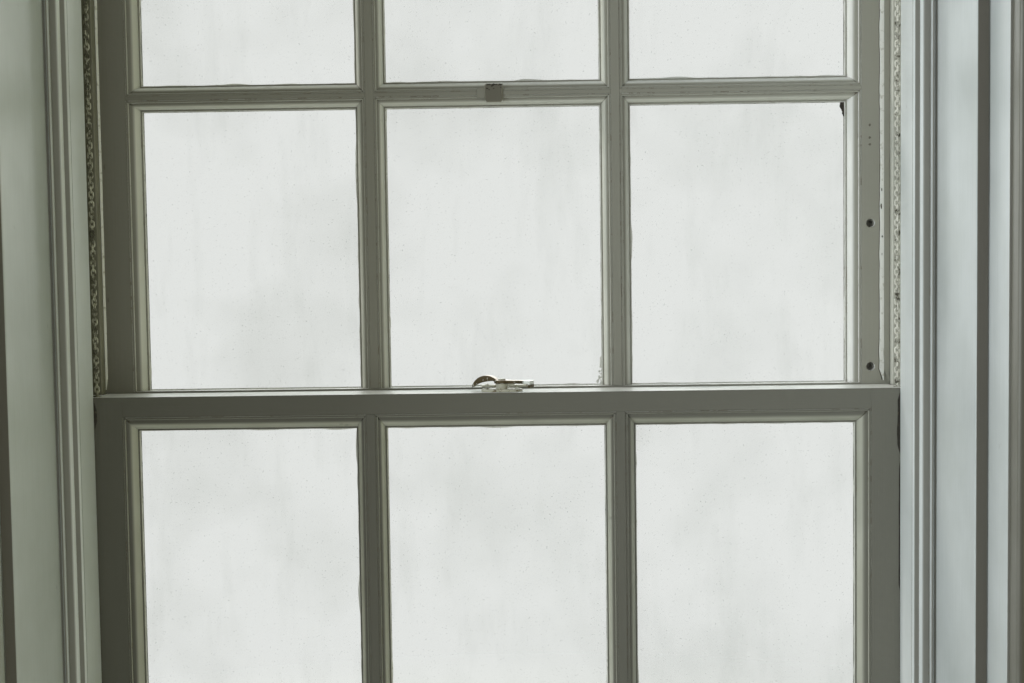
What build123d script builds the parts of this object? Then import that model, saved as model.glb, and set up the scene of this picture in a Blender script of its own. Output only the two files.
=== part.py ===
from build123d import *
import os
from math import cos, radians, sin, tan

os.makedirs("parts", exist_ok=True)

# Double-hung sash window with its box frame, all sizes in millimetres.
# +X is to the right seen from the room, +Y points outdoors, +Z is up.
# The origin is on the sill's underside, in the middle, below the lower sash's room face.

# Glass and sash joinery
light_width = 242.0
light_height = 316.0
lights_across = 3
lights_high = 2
upright_bar_width = 33.0
cross_bar_width = 28.0
stile_width = 57.0
top_rail_height = 50.0
meeting_rail_height = 38.0
bottom_rail_height = 76.0
sash_thickness = 35.0
tenon_thickness = 11.0
tenon_length = 38.0
tenon_shoulder = 19.0
pane_thickness = 3.0
pane_edge_gap = 1.5

# Sticking, the moulding run round every light on the room side
frame_moulding_width = 15.5
bar_moulding_width = 11.5
glass_depth = 13.0
rebate_width = 7.0
bead_width = 2.8
bead_sink = 0.9
bead_rise = 0.43
quirk_depth = 3.2
quirk_width = 0.8
ledge_width = 1.6
ledge_depth = 10.2
ovolo_bulge = 1.9
putty_set_back = 1.5
putty_lap = 1.0

# Running clearances
side_play = 2.0
face_play = 1.0
head_play = 2.0
sill_play = 0.5
axle_play = 0.05

# Meeting rails and the lips that close the space between the sashes
meeting_step = 2.0
lip_play = 0.8
lip_face_gap = 2.2
lip_end_gap = 1.5
lip_thickness = 14.0
lip_bevel_rise = 12.0

# Box frame
pulley_stile_thickness = 20.0
head_thickness = 22.0
outer_lining_thickness = 19.0
inner_lining_thickness = 19.0
back_lining_thickness = 10.0
box_width = 84.0
blind_stop_projection = 12.0
parting_bead_thickness = 12.7
parting_bead_projection = 12.0
parting_groove_depth = 8.0
parting_bead_round = 2.0
divider_thickness = 4.0
divider_foot_gap = 60.0
pocket_height = 380.0
pocket_width = 28.0
pocket_foot = 150.0
pocket_bevel = 8.0
pocket_joint = 0.3

# Sill and window board
sill_height = 55.5
sill_step = 2.5
sill_slope = 9.0
sill_nose_reach = 45.0
sill_nose_round = 6.0
drip_width = 10.0
drip_depth = 6.0
drip_inset = 14.0
board_thickness = 22.0
board_overhang = 25.0
board_horn = 20.0
board_gap = 2.0

# Inside trim
stop_depth = 59.0
stop_projection = 12.0
stop_cover = 4.0
stop_quirk = 1.1
stop_bead_radius = 2.5
stop_dip_depth = 3.5
stop_dip_place = 6.5
stop_band_start = 12.5
stop_ogee_bulge = 1.1
lining_bead_width = 4.5
lining_bead_height = 2.2
reveal_set_back = 11.5
reveal_thickness = 12.5
reveal_depth = 140.0
reveal_round = 1.5
ground_depth = 60.0
ground_thickness = 20.0
ground_lap = 30.0
casing_width = 100.0
casing_thickness = 22.0
casing_set_back = 2.0
casing_bead_radius = 4.0
casing_quirk = 2.0
backband_width = 16.0
backband_height = 10.0

# Pulleys, weights and chains
wheel_pitch_radius = 28.0
wheel_rim_radius = 29.0
wheel_width = 10.0
wheel_groove_radius = 21.5
axle_radius = 3.5
chain_offset = 11.0
pulley_below_head = 115.0
plate_height = 122.0
plate_width = 26.0
plate_thickness = 3.0
mortise_margin = 0.5
cheek_thickness = 2.5
cheek_play = 0.6
cheek_reach = 12.0
weight_radius = 17.5
lower_weight_length = 593.0
upper_weight_length = 605.0
lower_weight_drop = 95.0
weight_floor_gap = 103.5
weight_lug_width = 16.0
weight_lug_height = 16.0
weight_lug_thickness = 7.0
weight_eye_radius = 4.0
chain_groove_width = 13.0
chain_groove_depth = 13.0
chain_anchor_drop = 200.0
chain_anchor_height = 14.0
chain_anchor_gap = 0.3
chain_core_width = 4.4
link_pitch = 5.4
link_width = 6.7
link_wire = 1.3
link_slack = 0.1

# Sash lock
lock_side = 7.0
lock_inset = 22.0
lock_plate_length = 46.0
lock_plate_width = 26.0
lock_plate_thickness = 2.5
lock_boss_radius = 7.0
lock_boss_height = 6.0
lock_pin_radius = 2.5
lock_pin_head_radius = 4.5
lock_pin_head_height = 1.2
lock_lift = 0.2
lever_thickness = 3.5
lever_hub_radius = 8.5
lever_arm_width = 9.0
handle_reach = 34.0
handle_drop = 6.0
handle_rise = 5.0
handle_swell = 0.5
handle_tip_thickness = 2.5
cam_reach = 36.2
cam_band = 9.0
cam_half_angle = 12.0
cam_lip_thickness = 2.2
cam_lip_drop = 3.9
cam_rest_angle = -20.0
lug_play = 1.0
lug_thickness = 2.2
lug_height = 4.0
lug_start_angle = 65.0
lug_end_angle = 100.0
keeper_length = 56.0
keeper_width = 11.5
keeper_thickness = 2.0
keeper_set_back = 0.5

# Old hook plate, painted over, on the upper sash's cross bar, and two pin holes
hook_plate_length = 20.0
hook_plate_height = 20.0
hook_plate_proud = 1.8
hook_plate_side = 2.0
hook_flange_length = 9.0
hook_flange_height = 12.0
pin_hole_radius = 4.75
pin_hole_depth = 22.0
pin_hole_inset = 31.0
pin_hole_heights = (217.0, 56.0)

# Worked-out sizes of the sashes
glass_across = lights_across * light_width + (lights_across - 1) * upright_bar_width
glass_high = lights_high * light_height + (lights_high - 1) * cross_bar_width
sash_half = glass_across / 2 + stile_width
stile_inside = glass_across / 2
lower_height = bottom_rail_height + glass_high + meeting_rail_height
upper_height = meeting_rail_height + glass_high + top_rail_height
sash_middle = sash_thickness / 2
foot_fall = sash_thickness * tan(radians(sill_slope))

# Worked-out places of the sashes in the frame
jamb_half = sash_half + side_play
lower_foot = sill_height + sill_play
lower_top = lower_foot + lower_height
upper_foot = lower_top - meeting_rail_height + meeting_step
head_foot = upper_foot + upper_height + head_play
parting_face = sash_thickness + face_play
parting_back = parting_face + parting_bead_thickness
upper_face = parting_back + face_play
blind_face = upper_face + sash_thickness + face_play
sash_gap = upper_face - sash_thickness
stop_front = -face_play - stop_depth
lining_back = stop_front + inner_lining_thickness
board_foot = sill_height + sill_step
board_top = board_foot + board_thickness
reveal_front = stop_front - reveal_depth
ground_front = reveal_front - ground_depth
ground_side = reveal_set_back + reveal_thickness
casing_side = ground_side + casing_set_back
casing_front = ground_front - casing_thickness
sill_front = blind_face + outer_lining_thickness + sill_nose_reach
trim_reach = casing_side + casing_width + backband_width

# Worked-out places of the pulleys, chains and weights
wheel_side = jamb_half - chain_offset + wheel_pitch_radius
wheel_height = head_foot - pulley_below_head
weight_side = wheel_side + wheel_pitch_radius
upper_weight_drop = wheel_height - (sill_height + weight_floor_gap + upper_weight_length)
wheel_slot_half = wheel_pitch_radius + chain_core_width / 2 + cheek_play
lower_channel = sash_middle
upper_channel = upper_face + sash_middle
channels = (lower_channel, upper_channel)


# Small helpers

def block(x_range, y_range, z_range):
    size = [high - low for low, high in (x_range, y_range, z_range)]
    middle = [(high + low) / 2 for low, high in (x_range, y_range, z_range)]
    return Pos(*middle) * Box(*size)


def outline(points):
    return make_face(Polyline(*points, close=True))


def upright(section, foot, top):
    return extrude(Pos(0, 0, foot) * section, top - foot)


def across(section, start, end):
    return extrude(Plane.YZ.offset(start) * section, end - start)


def mirrored(shapes):
    return [mirror(shape, about=Plane.YZ) for shape in as_list(shapes)]


def as_list(shapes):
    return shapes if isinstance(shapes, list) else [shapes]


def moved(shapes, x, y, z):
    return [Pos(x, y, z) * shape for shape in as_list(shapes)]


# Carving prisms for the glass. Each leaves the moulding, the ledge behind it and the pane's rebate.
# They run right through a sash, so that every stile, rail and bar has one section from end to end.

def sticking_edges(start, width, side):
    # The edges run from the room side to the glass, outward from the sight line at start
    def at(reach, depth):
        return (start + side * reach, depth)

    if width == 0:
        return [Line(at(0, -1), at(0, glass_depth))]
    bead_end = width - bead_width
    ovolo_top = bead_end - quirk_width
    return [
        Line(at(width, -1), at(width, bead_sink)),
        SagittaArc(at(width, bead_sink), at(bead_end, bead_sink), side * bead_rise),
        Polyline(at(bead_end, bead_sink), at(bead_end, quirk_depth), at(ovolo_top, quirk_depth)),
        SagittaArc(at(ovolo_top, quirk_depth), at(ledge_width, ledge_depth), side * ovolo_bulge),
        Polyline(at(ledge_width, ledge_depth), at(0, ledge_depth), at(0, glass_depth)),
    ]


def opening_prism(span, low_width, high_width):
    half = span / 2
    rebate = half + rebate_width
    back = sash_thickness + 1
    room_side = Line((-half - low_width, -1), (half + high_width, -1))
    rebate_side = Polyline((-half, glass_depth), (-rebate, glass_depth), (-rebate, back),
                           (rebate, back), (rebate, glass_depth), (half, glass_depth))
    low = sticking_edges(-half, low_width, -1)
    high = sticking_edges(half, high_width, 1)
    return extrude(make_face([room_side, *low, *high, rebate_side]), 2 * sash_half, both=True)


def column_side(column):
    return (column - (lights_across - 1) / 2) * (light_width + upright_bar_width)


def row_height(first_rail, row):
    return first_rail + light_height / 2 + row * (light_height + cross_bar_width)


def light_places(first_rail):
    return [(column_side(column), row_height(first_rail, row))
            for row in range(lights_high) for column in range(lights_across)]


def column_prism(column):
    left = frame_moulding_width if column == 0 else bar_moulding_width
    right = frame_moulding_width if column == lights_across - 1 else bar_moulding_width
    return Pos(column_side(column), 0, 0) * opening_prism(light_width, left, right)


def row_prisms(first_rail, first_moulding):
    prisms = []
    for row in range(lights_high):
        bottom = first_moulding if row == 0 else bar_moulding_width
        top = frame_moulding_width if row == lights_high - 1 else bar_moulding_width
        prism = Rot(0, -90, 0) * opening_prism(light_height, bottom, top)
        prisms.append(Pos(0, 0, row_height(first_rail, row)) * prism)
    return prisms


def carved(wood, cutters):
    for cutter in cutters:
        wood = wood - cutter
    return wood


def scribed(wood, cutters):
    # Cutting leaves loose crumbs where two beads cross, and they are pared away
    return carved(wood, cutters).solids().sort_by(SortBy.VOLUME)[-1]


# Sash woodwork, drawn with the sash's room face at Y 0 and its foot at Z 0.
# Rails are scribed over the stiles' moulding, upright bars over the rails', cross bars over both.

def tenon(foot, top):
    return block((stile_inside, stile_inside + tenon_length),
                 (sash_middle - tenon_thickness / 2, sash_middle + tenon_thickness / 2), (foot, top))


def rail(foot, top, tenon_range, rows, stiles):
    reach = stile_inside + frame_moulding_width
    wood = scribed(block((-reach, reach), (0, sash_thickness), (foot, top)), rows + stiles)
    tongue = tenon(*tenon_range)
    return wood + tongue + mirror(tongue, about=Plane.YZ)


def stile(foot, top, tenons):
    wood = block((stile_inside, sash_half), (0, sash_thickness), (foot, top))
    wood -= block((sash_half - chain_groove_depth, sash_half + 1),
                  (sash_middle - chain_groove_width / 2, sash_middle + chain_groove_width / 2),
                  (foot - 1, top + 1))
    for tenon_range in tenons:
        wood -= tenon(*tenon_range)
    return wood - column_prism(lights_across - 1)


def upright_bar(number, foot, rails):
    side = (number - lights_across / 2) * (light_width + upright_bar_width)
    half = upright_bar_width / 2
    wood = block((side - half, side + half), (0, sash_thickness),
                 (foot - frame_moulding_width, foot + glass_high + frame_moulding_width))
    return scribed(wood, [column_prism(number - 1), column_prism(number)] + rails)


def cross_bars(foot, rows, uprights):
    bars = []
    reach = light_width / 2 + frame_moulding_width
    for row in range(1, lights_high):
        low = foot + row * light_height + (row - 1) * cross_bar_width
        for column in range(lights_across):
            side = column_side(column)
            wood = block((side - reach, side + reach), (0, sash_thickness), (low, low + cross_bar_width))
            bars.append(scribed(wood, rows + uprights))
    return bars


def panes(first_rail):
    width = light_width + 2 * (rebate_width - pane_edge_gap)
    height = light_height + 2 * (rebate_width - pane_edge_gap)
    pane = Pos(0, glass_depth + pane_thickness / 2, 0) * Box(width, pane_thickness, height)
    return [Pos(side, 0, height) * pane for side, height in light_places(first_rail)]


def putty(first_rail):
    # A sloped fillet between the outside of the glass and the edge of its rebate
    back = glass_depth + pane_thickness
    edge = sash_thickness - putty_set_back
    wide = light_width + 2 * rebate_width
    high = light_height + 2 * rebate_width
    lap = 2 * (rebate_width + putty_lap)
    frame = block((-wide / 2, wide / 2), (back, edge), (-high / 2, high / 2))
    near = Plane((0, back, 0), x_dir=(1, 0, 0), z_dir=(0, 1, 0)) * Rectangle(wide - lap, high - lap)
    far = Plane((0, edge, 0), x_dir=(1, 0, 0), z_dir=(0, 1, 0)) * Rectangle(wide, high)
    frame = frame - loft([near, far])
    return [Pos(side, 0, height) * frame for side, height in light_places(first_rail)]


def lip_half():
    return jamb_half - parting_bead_projection - lip_end_gap


def lower_lip():
    reach = sash_gap - lip_face_gap
    edge = lower_height - lip_thickness
    section = outline([(sash_thickness, lower_height), (sash_thickness + reach, lower_height),
                       (sash_thickness + reach, edge - lip_bevel_rise * lip_face_gap / sash_gap),
                       (sash_thickness, edge - lip_bevel_rise)])
    return across(section, -lip_half(), lip_half())


def upper_lip():
    reach = sash_gap - lip_face_gap
    top = meeting_rail_height - meeting_step - lip_thickness - lip_play
    section = outline([(0, 0), (-reach, 0), (-reach, top - lip_bevel_rise * reach / sash_gap),
                       (0, top)])
    return across(section, -lip_half(), lip_half())


def sloping_ground():
    # What the lower sash's bevelled foot leaves free for the sloping sill
    rise = tan(radians(sill_slope))
    section = outline([(-1, rise), (sash_thickness + 1, -foot_fall - rise),
                       (sash_thickness + 1, -2 * foot_fall - 1), (-1, -2 * foot_fall - 1)])
    return across(section, -sash_half - 1, sash_half + 1)


def build_lower_sash():
    rows = row_prisms(bottom_rail_height, frame_moulding_width)
    meeting_foot = lower_height - meeting_rail_height
    bottom_tenon = (tenon_shoulder, bottom_rail_height - tenon_shoulder)
    meeting_tenon = (meeting_foot + tenon_shoulder, lower_height - tenon_shoulder / 2)
    right = stile(-foot_fall, lower_height, [bottom_tenon, meeting_tenon]) - sloping_ground()
    stiles = [right, mirror(right, about=Plane.YZ)]
    bottom = rail(-foot_fall, bottom_rail_height, bottom_tenon, rows, stiles) - sloping_ground()
    meeting = rail(meeting_foot, lower_height, meeting_tenon, rows, stiles) + lower_lip()
    bars = [upright_bar(number, bottom_rail_height, [bottom, meeting])
            for number in range(1, lights_across)]
    parts = {
        "lower_stile_right": stiles[0],
        "lower_stile_left": stiles[1],
        "lower_meeting_rail": meeting,
        "lower_bottom_rail": bottom,
        "lower_bar_left": bars[0],
        "lower_bar_right": bars[1],
        "lower_cross_bars": cross_bars(bottom_rail_height, rows, stiles + bars),
        "lower_panes": panes(bottom_rail_height),
        "lower_putty": putty(bottom_rail_height),
    }
    return {name: moved(shapes, 0, 0, lower_foot) for name, shapes in parts.items()}


def pin_holes():
    return [Pos(sash_half - pin_hole_inset, pin_hole_depth / 2, height)
            * Rot(90, 0, 0) * Cylinder(pin_hole_radius, pin_hole_depth) for height in pin_hole_heights]


def old_hook_plate():
    # It is fixed to the fillet of the middle cross bar and has a short flange on its left
    height = meeting_rail_height + light_height + cross_bar_width / 2
    left = hook_plate_side - hook_plate_length / 2
    plate = Box(hook_plate_length, hook_plate_proud, hook_plate_height)
    plate = chamfer(plate.edges().group_by(Axis.Y)[0], hook_plate_proud / 3)
    flange = block((left - hook_flange_length, left), (-hook_plate_proud / 2, 0),
                   (height - hook_flange_height / 2, height + hook_flange_height / 2))
    return Pos(hook_plate_side, -hook_plate_proud / 2, height) * plate + flange


def build_upper_sash():
    rows = row_prisms(meeting_rail_height, 0)
    top_foot = upper_height - top_rail_height
    meeting_tenon = (tenon_shoulder / 2, meeting_rail_height - tenon_shoulder / 2)
    top_tenon = (top_foot + tenon_shoulder, upper_height - tenon_shoulder / 2)
    right = stile(0, upper_height, [meeting_tenon, top_tenon])
    stiles = [right, mirror(right, about=Plane.YZ)]
    meeting = rail(0, meeting_rail_height, meeting_tenon, rows, stiles) + upper_lip()
    top = rail(top_foot, upper_height, top_tenon, rows, stiles)
    bars = [upright_bar(number, meeting_rail_height, [meeting, top])
            for number in range(1, lights_across)]
    parts = {
        "upper_stile_right": carved(stiles[0], pin_holes()),
        "upper_stile_left": stiles[1],
        "upper_top_rail": top,
        "upper_meeting_rail": meeting,
        "upper_bar_left": bars[0],
        "upper_bar_right": bars[1],
        "upper_cross_bars": cross_bars(meeting_rail_height, rows, stiles + bars) + [old_hook_plate()],
        "upper_panes": panes(meeting_rail_height),
        "upper_putty": putty(meeting_rail_height),
    }
    return {name: moved(shapes, 0, upper_face, upper_foot) for name, shapes in parts.items()}


# Sill, window board and box frame

def sill():
    rise = tan(radians(sill_slope))
    board_line = (-board_gap, sill_height)
    nose_top = sill_height - rise * sill_front
    section = outline([(stop_front, 0), (sill_front, 0), (sill_front, nose_top), (0, sill_height),
                       board_line, (-board_gap, board_foot), (stop_front, board_foot)])
    nose = section.vertices().group_by(Axis.X)[-1].sort_by(Axis.Y)[-1]
    section = fillet(nose, sill_nose_round)
    drip = Pos(sill_front - drip_inset - drip_width / 2, 0) * Rectangle(drip_width, 2 * drip_depth)
    return across(section - drip, -jamb_half - box_width, jamb_half + box_width)


def window_board(linings):
    half = jamb_half + casing_side + casing_width + board_horn
    nose = casing_front - board_overhang
    middle = (board_foot + board_top) / 2
    section = make_face([
        Polyline((nose + board_thickness / 2, board_top), (stop_front, board_top),
                 (stop_front, board_foot), (nose + board_thickness / 2, board_foot)),
        ThreePointArc((nose + board_thickness / 2, board_foot), (nose, middle),
                      (nose + board_thickness / 2, board_top)),
    ])
    tongue = block((-jamb_half, jamb_half), (stop_front, -board_gap), (board_foot, board_top))
    board = across(section, -half, half) + tongue
    return carved(board, linings)


def pocket_prism(joint):
    # The pocket's ends are bevelled, so that its cover wedges in from the room side
    foot = pocket_foot + joint
    top = pocket_foot + pocket_height - joint
    back = jamb_half + pulley_stile_thickness
    section = outline([(jamb_half, foot), (jamb_half, top), (back, top - pocket_bevel),
                       (back, foot + pocket_bevel)])
    half = pocket_width / 2 - joint
    return extrude(Plane.XZ.offset(-lower_channel) * section, half, both=True)


def pulley_mortise(channel):
    plate = Plane.YZ * Rot(0, 0, 90) * SlotOverall(plate_height, plate_width)
    recess = Pos(jamb_half, channel, wheel_height) * extrude(plate, plate_thickness)
    half_width = wheel_width / 2 + cheek_play + cheek_thickness + mortise_margin
    half_height = wheel_slot_half + mortise_margin
    through = block((jamb_half - 1, jamb_half + pulley_stile_thickness + 1),
                    (channel - half_width, channel + half_width),
                    (wheel_height - half_height, wheel_height + half_height))
    return recess + through


def pulley_stile(sill_block):
    wood = block((jamb_half, jamb_half + pulley_stile_thickness), (lining_back, blind_face),
                 (0, head_foot))
    wood -= block((jamb_half - 1, jamb_half + parting_groove_depth), (parting_face, parting_back),
                  (0, head_foot + 1))
    for channel in channels:
        wood -= pulley_mortise(channel)
    return wood - pocket_prism(0) - sill_block


def back_lining(sill_block):
    outside = jamb_half + box_width
    board = block((outside - back_lining_thickness, outside), (lining_back, blind_face), (0, head_foot))
    return board - sill_block


def weight_divider():
    middle = (lower_channel + upper_channel) / 2
    return block((jamb_half + pulley_stile_thickness, jamb_half + box_width - back_lining_thickness),
                 (middle - divider_thickness / 2, middle + divider_thickness / 2),
                 (sill_height + divider_foot_gap, head_foot))


def head_jamb():
    half = jamb_half + box_width
    groove = block((-jamb_half - parting_groove_depth, jamb_half + parting_groove_depth),
                   (parting_face, parting_back), (head_foot - 1, head_foot + parting_groove_depth))
    return block((-half, half), (lining_back, blind_face), (head_foot, head_foot + head_thickness)) - groove


# Members that run up both sides and across the head, mitred at the top corners.
# Their sections are drawn with the first axis outward from the pulley stile's face.

def mitre_region(points):
    return extrude(Plane.XZ * outline(points), sill_front - casing_front, both=True)


def frame_members(section, foot):
    inner = stop_projection + 1
    near_side = jamb_half - inner
    far_side = jamb_half + trim_reach
    near_head = head_foot - inner
    far_head = head_foot + trim_reach
    side_region = mitre_region([(near_side, near_head), (far_side, far_head), (far_side, 0),
                                (near_side, 0)])
    head_region = mitre_region([(-near_side, near_head), (near_side, near_head), (far_side, far_head),
                                (-far_side, far_head)])
    post = Pos(jamb_half, 0, 0) * upright(section, foot, far_head)
    beam = Pos(0, 0, head_foot) * Rot(0, -90, 0) * upright(section, -far_side, far_side)
    return post & side_region, beam & head_region


def rectangle_section(near, far, front, back):
    return outline([(near, front), (far, front), (far, back), (near, back)])


def parting_bead_section():
    section = rectangle_section(-parting_bead_projection, parting_groove_depth, parting_face,
                                parting_back)
    return fillet(section.vertices().group_by(Axis.X)[0], parting_bead_round)


def outer_lining_section():
    return rectangle_section(-blind_stop_projection, box_width, blind_face,
                             blind_face + outer_lining_thickness)


def inner_lining_section():
    bead_start = stop_cover + 1
    bead_end = bead_start + lining_bead_width
    return make_face([
        Polyline((bead_end, stop_front), (box_width, stop_front), (box_width, lining_back),
                 (stop_cover, lining_back), (stop_cover, stop_front), (bead_start, stop_front)),
        ThreePointArc((bead_start, stop_front),
                      ((bead_start + bead_end) / 2, stop_front - lining_bead_height),
                      (bead_end, stop_front)),
    ])


def inside_stop_section():
    # A quirk and bead turn the corner, then an ogee rises to the flat band that faces the room
    near = -stop_projection
    back = stop_front + stop_depth
    bead_foot = stop_front + stop_dip_depth + stop_bead_radius
    quirk_end = bead_foot + stop_quirk
    bead_turn = (near + stop_bead_radius * (1 - cos(radians(45))),
                 bead_foot - stop_bead_radius * sin(radians(45)))
    bead_top = (near + stop_bead_radius, bead_foot - stop_bead_radius)
    dip = (near + stop_dip_place, stop_front + stop_dip_depth)
    band = (near + stop_band_start, stop_front)
    return make_face([
        Polyline(band, (stop_cover, stop_front), (stop_cover, lining_back), (0, lining_back), (0, back),
                 (near, back), (near, quirk_end + stop_quirk),
                 (near + stop_quirk, quirk_end + stop_quirk), (near + stop_quirk, quirk_end),
                 (near, quirk_end), (near, bead_foot)),
        ThreePointArc((near, bead_foot), bead_turn, bead_top),
        Line(bead_top, dip),
        SagittaArc(dip, band, -stop_ogee_bulge),
    ])


def reveal_lining_section():
    section = rectangle_section(reveal_set_back, reveal_set_back + reveal_thickness, reveal_front,
                                stop_front)
    return fillet(section.vertices().group_by(Axis.Y)[0], reveal_round)


def casing_ground_section():
    return rectangle_section(ground_side, ground_side + ground_thickness, ground_front,
                             reveal_front + ground_lap)


def casing_section():
    # A bead and quirk at the inner edge, and a backband planted on the outer edge
    near = casing_side
    far = near + casing_width
    bead = casing_bead_radius
    band_start = far - backband_width
    return make_face([
        Polyline((near, casing_front + bead), (near, ground_front), (far, ground_front),
                 (far, casing_front - backband_height), (band_start, casing_front - backband_height),
                 (band_start, casing_front), (near + 2 * bead + casing_quirk, casing_front),
                 (near + 2 * bead + casing_quirk, casing_front + bead),
                 (near + 2 * bead, casing_front + bead)),
        ThreePointArc((near + 2 * bead, casing_front + bead), (near + bead, casing_front),
                      (near, casing_front + bead)),
    ])


def build_frame():
    sill_block = sill()
    stile_right = pulley_stile(sill_block)
    cover = pocket_prism(pocket_joint)
    divider = weight_divider()
    back_right = back_lining(sill_block)
    parts = {
        "sill": sill_block,
        "head_jamb": head_jamb(),
        "pulley_stile_right": stile_right,
        "pulley_stile_left": mirrored(stile_right),
        "pocket_covers": [cover] + mirrored(cover),
        "weight_dividers": [divider] + mirrored(divider),
        "back_lining_right": back_right,
        "back_lining_left": mirrored(back_right),
    }
    members = {
        "parting_bead": (parting_bead_section(), 0),
        "outer_lining": (outer_lining_section(), 0),
        "inner_lining": (inner_lining_section(), board_foot),
        "inside_stop": (inside_stop_section(), board_top),
        "reveal_lining": (reveal_lining_section(), board_top),
        "casing": (casing_section(), board_top),
    }
    for name, (section, foot) in members.items():
        side, head = frame_members(section, foot)
        if foot == 0:
            side = side - sill_block
        parts[name + "_right"] = side
        parts[name + "_left"] = mirrored(side)
        parts[name + "_head"] = head
    side, head = frame_members(casing_ground_section(), board_top)
    parts["casing_grounds"] = [side, head] + mirrored(side)
    linings = as_list(parts["inner_lining_right"]) + parts["inner_lining_left"]
    parts["window_board"] = window_board(linings)
    return parts


# Pulleys, weights and chains, drawn on the right side of the window

def pulley_frame(channel):
    plate = extrude(Plane.YZ * Rot(0, 0, 90) * SlotOverall(plate_height, plate_width), plate_thickness)
    half_gap = wheel_width / 2 + cheek_play
    plate -= block((-1, plate_thickness + 1), (-half_gap, half_gap), (-wheel_slot_half, wheel_slot_half))
    plate = Pos(jamb_half, channel, wheel_height) * plate
    pieces = plate
    for side in (-1, 1):
        inner = channel + side * half_gap
        outer = inner + side * cheek_thickness
        pieces += block((jamb_half + plate_thickness, wheel_side + cheek_reach),
                        (min(inner, outer), max(inner, outer)),
                        (wheel_height - wheel_slot_half, wheel_height + wheel_slot_half))
    length = 2 * half_gap + cheek_thickness
    axle = Pos(wheel_side, channel, wheel_height) * Rot(90, 0, 0) * Cylinder(axle_radius, length)
    return pieces + axle


def pulley_wheel(channel):
    half = wheel_width / 2
    rim = wheel_rim_radius
    bore = axle_radius + axle_play
    # The groove's walls touch neither side of the chain, whose centre runs on the pitch radius
    section = outline([(bore, -half), (rim, -half), (wheel_groove_radius, 0), (rim, half), (bore, half)])
    return Pos(wheel_side, channel, wheel_height) * revolve(section, Axis.Y)


def sash_weight(channel, length, drop):
    top = wheel_height - drop
    body = Pos(weight_side, channel, top - length / 2) * Cylinder(weight_radius, length)
    arch = weight_lug_width / 2
    lug = block((weight_side - arch, weight_side + arch),
                (channel - weight_lug_thickness / 2, channel + weight_lug_thickness / 2),
                (top, top + weight_lug_height - arch))
    eye = Pos(weight_side, channel, top + weight_lug_height - arch) * Rot(90, 0, 0)
    lug += eye * Cylinder(arch, weight_lug_thickness)
    lug -= eye * Cylinder(weight_eye_radius, weight_lug_thickness + 1)
    return body + lug


def chain_core(side, channel, foot, top):
    # Where the chain is hidden it is a plain square core of about the same bulk
    return Pos(side, channel, (foot + top) / 2) * Box(chain_core_width, chain_core_width, top - foot)


def chain_in_sash(channel, foot, top):
    # The chain's end is fixed to the floor of the groove in the sash's edge
    side = jamb_half - chain_offset
    half = chain_core_width / 2
    anchor = block((sash_half - chain_groove_depth + chain_anchor_gap, side),
                   (channel - half, channel + half), (foot, foot + chain_anchor_height))
    return chain_core(side, channel, foot, top) + anchor


def chain_over_wheel(channel):
    section = Pos(-wheel_pitch_radius, 0) * Rectangle(chain_core_width, chain_core_width)
    return Pos(wheel_side, channel, wheel_height) * revolve(section, Axis.Y, 180)


def chain_link(turned):
    # Pulled tight, a link's end bears inside its neighbour's, which stands square to it
    length = link_pitch + 2 * link_wire + link_slack
    ring = Box(link_width, link_wire, length) - Box(link_width - 2 * link_wire, 2 * link_wire,
                                                    length - 2 * link_wire)
    return Rot(0, 0, 90) * ring if turned else ring


def chain_links(channel, top, count):
    plain = chain_link(False)
    turned = chain_link(True)
    side = jamb_half - chain_offset
    return [Pos(side, channel, top - (number + 0.5) * link_pitch) * (turned if number % 2 else plain)
            for number in range(count)]


def weight_run(channel, drop):
    eye = wheel_height - drop + weight_lug_height
    return chain_core(weight_side, channel, eye, wheel_height)


def lower_chain():
    # Linked from two links below the sash's top up to the wheel, plain inside the sash and the box
    linked_top = wheel_height - link_wire
    count = int((linked_top - lower_top) / link_pitch) + 2
    linked_foot = linked_top - count * link_pitch - link_wire - link_slack
    hidden = chain_in_sash(lower_channel, lower_top - chain_anchor_drop, linked_foot)
    over = chain_over_wheel(lower_channel) + weight_run(lower_channel, lower_weight_drop)
    return [hidden, over] + chain_links(lower_channel, linked_top, count)


def upper_chain():
    foot = upper_foot + upper_height - chain_anchor_drop
    run = chain_in_sash(upper_channel, foot, wheel_height) + chain_over_wheel(upper_channel)
    return [run + weight_run(upper_channel, upper_weight_drop)]


def build_balance():
    frames = [pulley_frame(channel) for channel in channels]
    lower = lower_chain()
    upper = upper_chain()
    lower_wheel = pulley_wheel(lower_channel)
    upper_wheel = pulley_wheel(upper_channel)
    lower_weight = sash_weight(lower_channel, lower_weight_length, lower_weight_drop)
    upper_weight = sash_weight(upper_channel, upper_weight_length, upper_weight_drop)
    return {
        "pulley_frames": frames + mirrored(frames),
        "lower_sash_chains": lower + mirrored(lower),
        "upper_sash_chains": upper + mirrored(upper),
        "lower_pulley_wheel_right": lower_wheel,
        "lower_pulley_wheel_left": mirrored(lower_wheel),
        "upper_pulley_wheel_right": upper_wheel,
        "upper_pulley_wheel_left": mirrored(upper_wheel),
        "lower_sash_weight_right": lower_weight,
        "lower_sash_weight_left": mirrored(lower_weight),
        "upper_sash_weight_right": upper_weight,
        "upper_sash_weight_left": mirrored(upper_weight),
    }


# Sash lock, drawn about its pivot with the cam pointing along +X and the meeting rail's top at Z 0

def ring_sector(inner, outer, foot, top, start, end):
    reach = 2 * outer
    points = [(reach * cos(radians(angle)), reach * sin(radians(angle))) for angle in (start, end)]
    wedge = upright(outline([(0, 0), *points]), foot, top)
    middle = Pos(0, 0, (foot + top) / 2)
    ring = middle * Cylinder(outer, top - foot) - middle * Cylinder(inner, top - foot + 1)
    return ring & wedge


def lever_foot():
    return lock_plate_thickness + lock_boss_height + lock_lift


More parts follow.
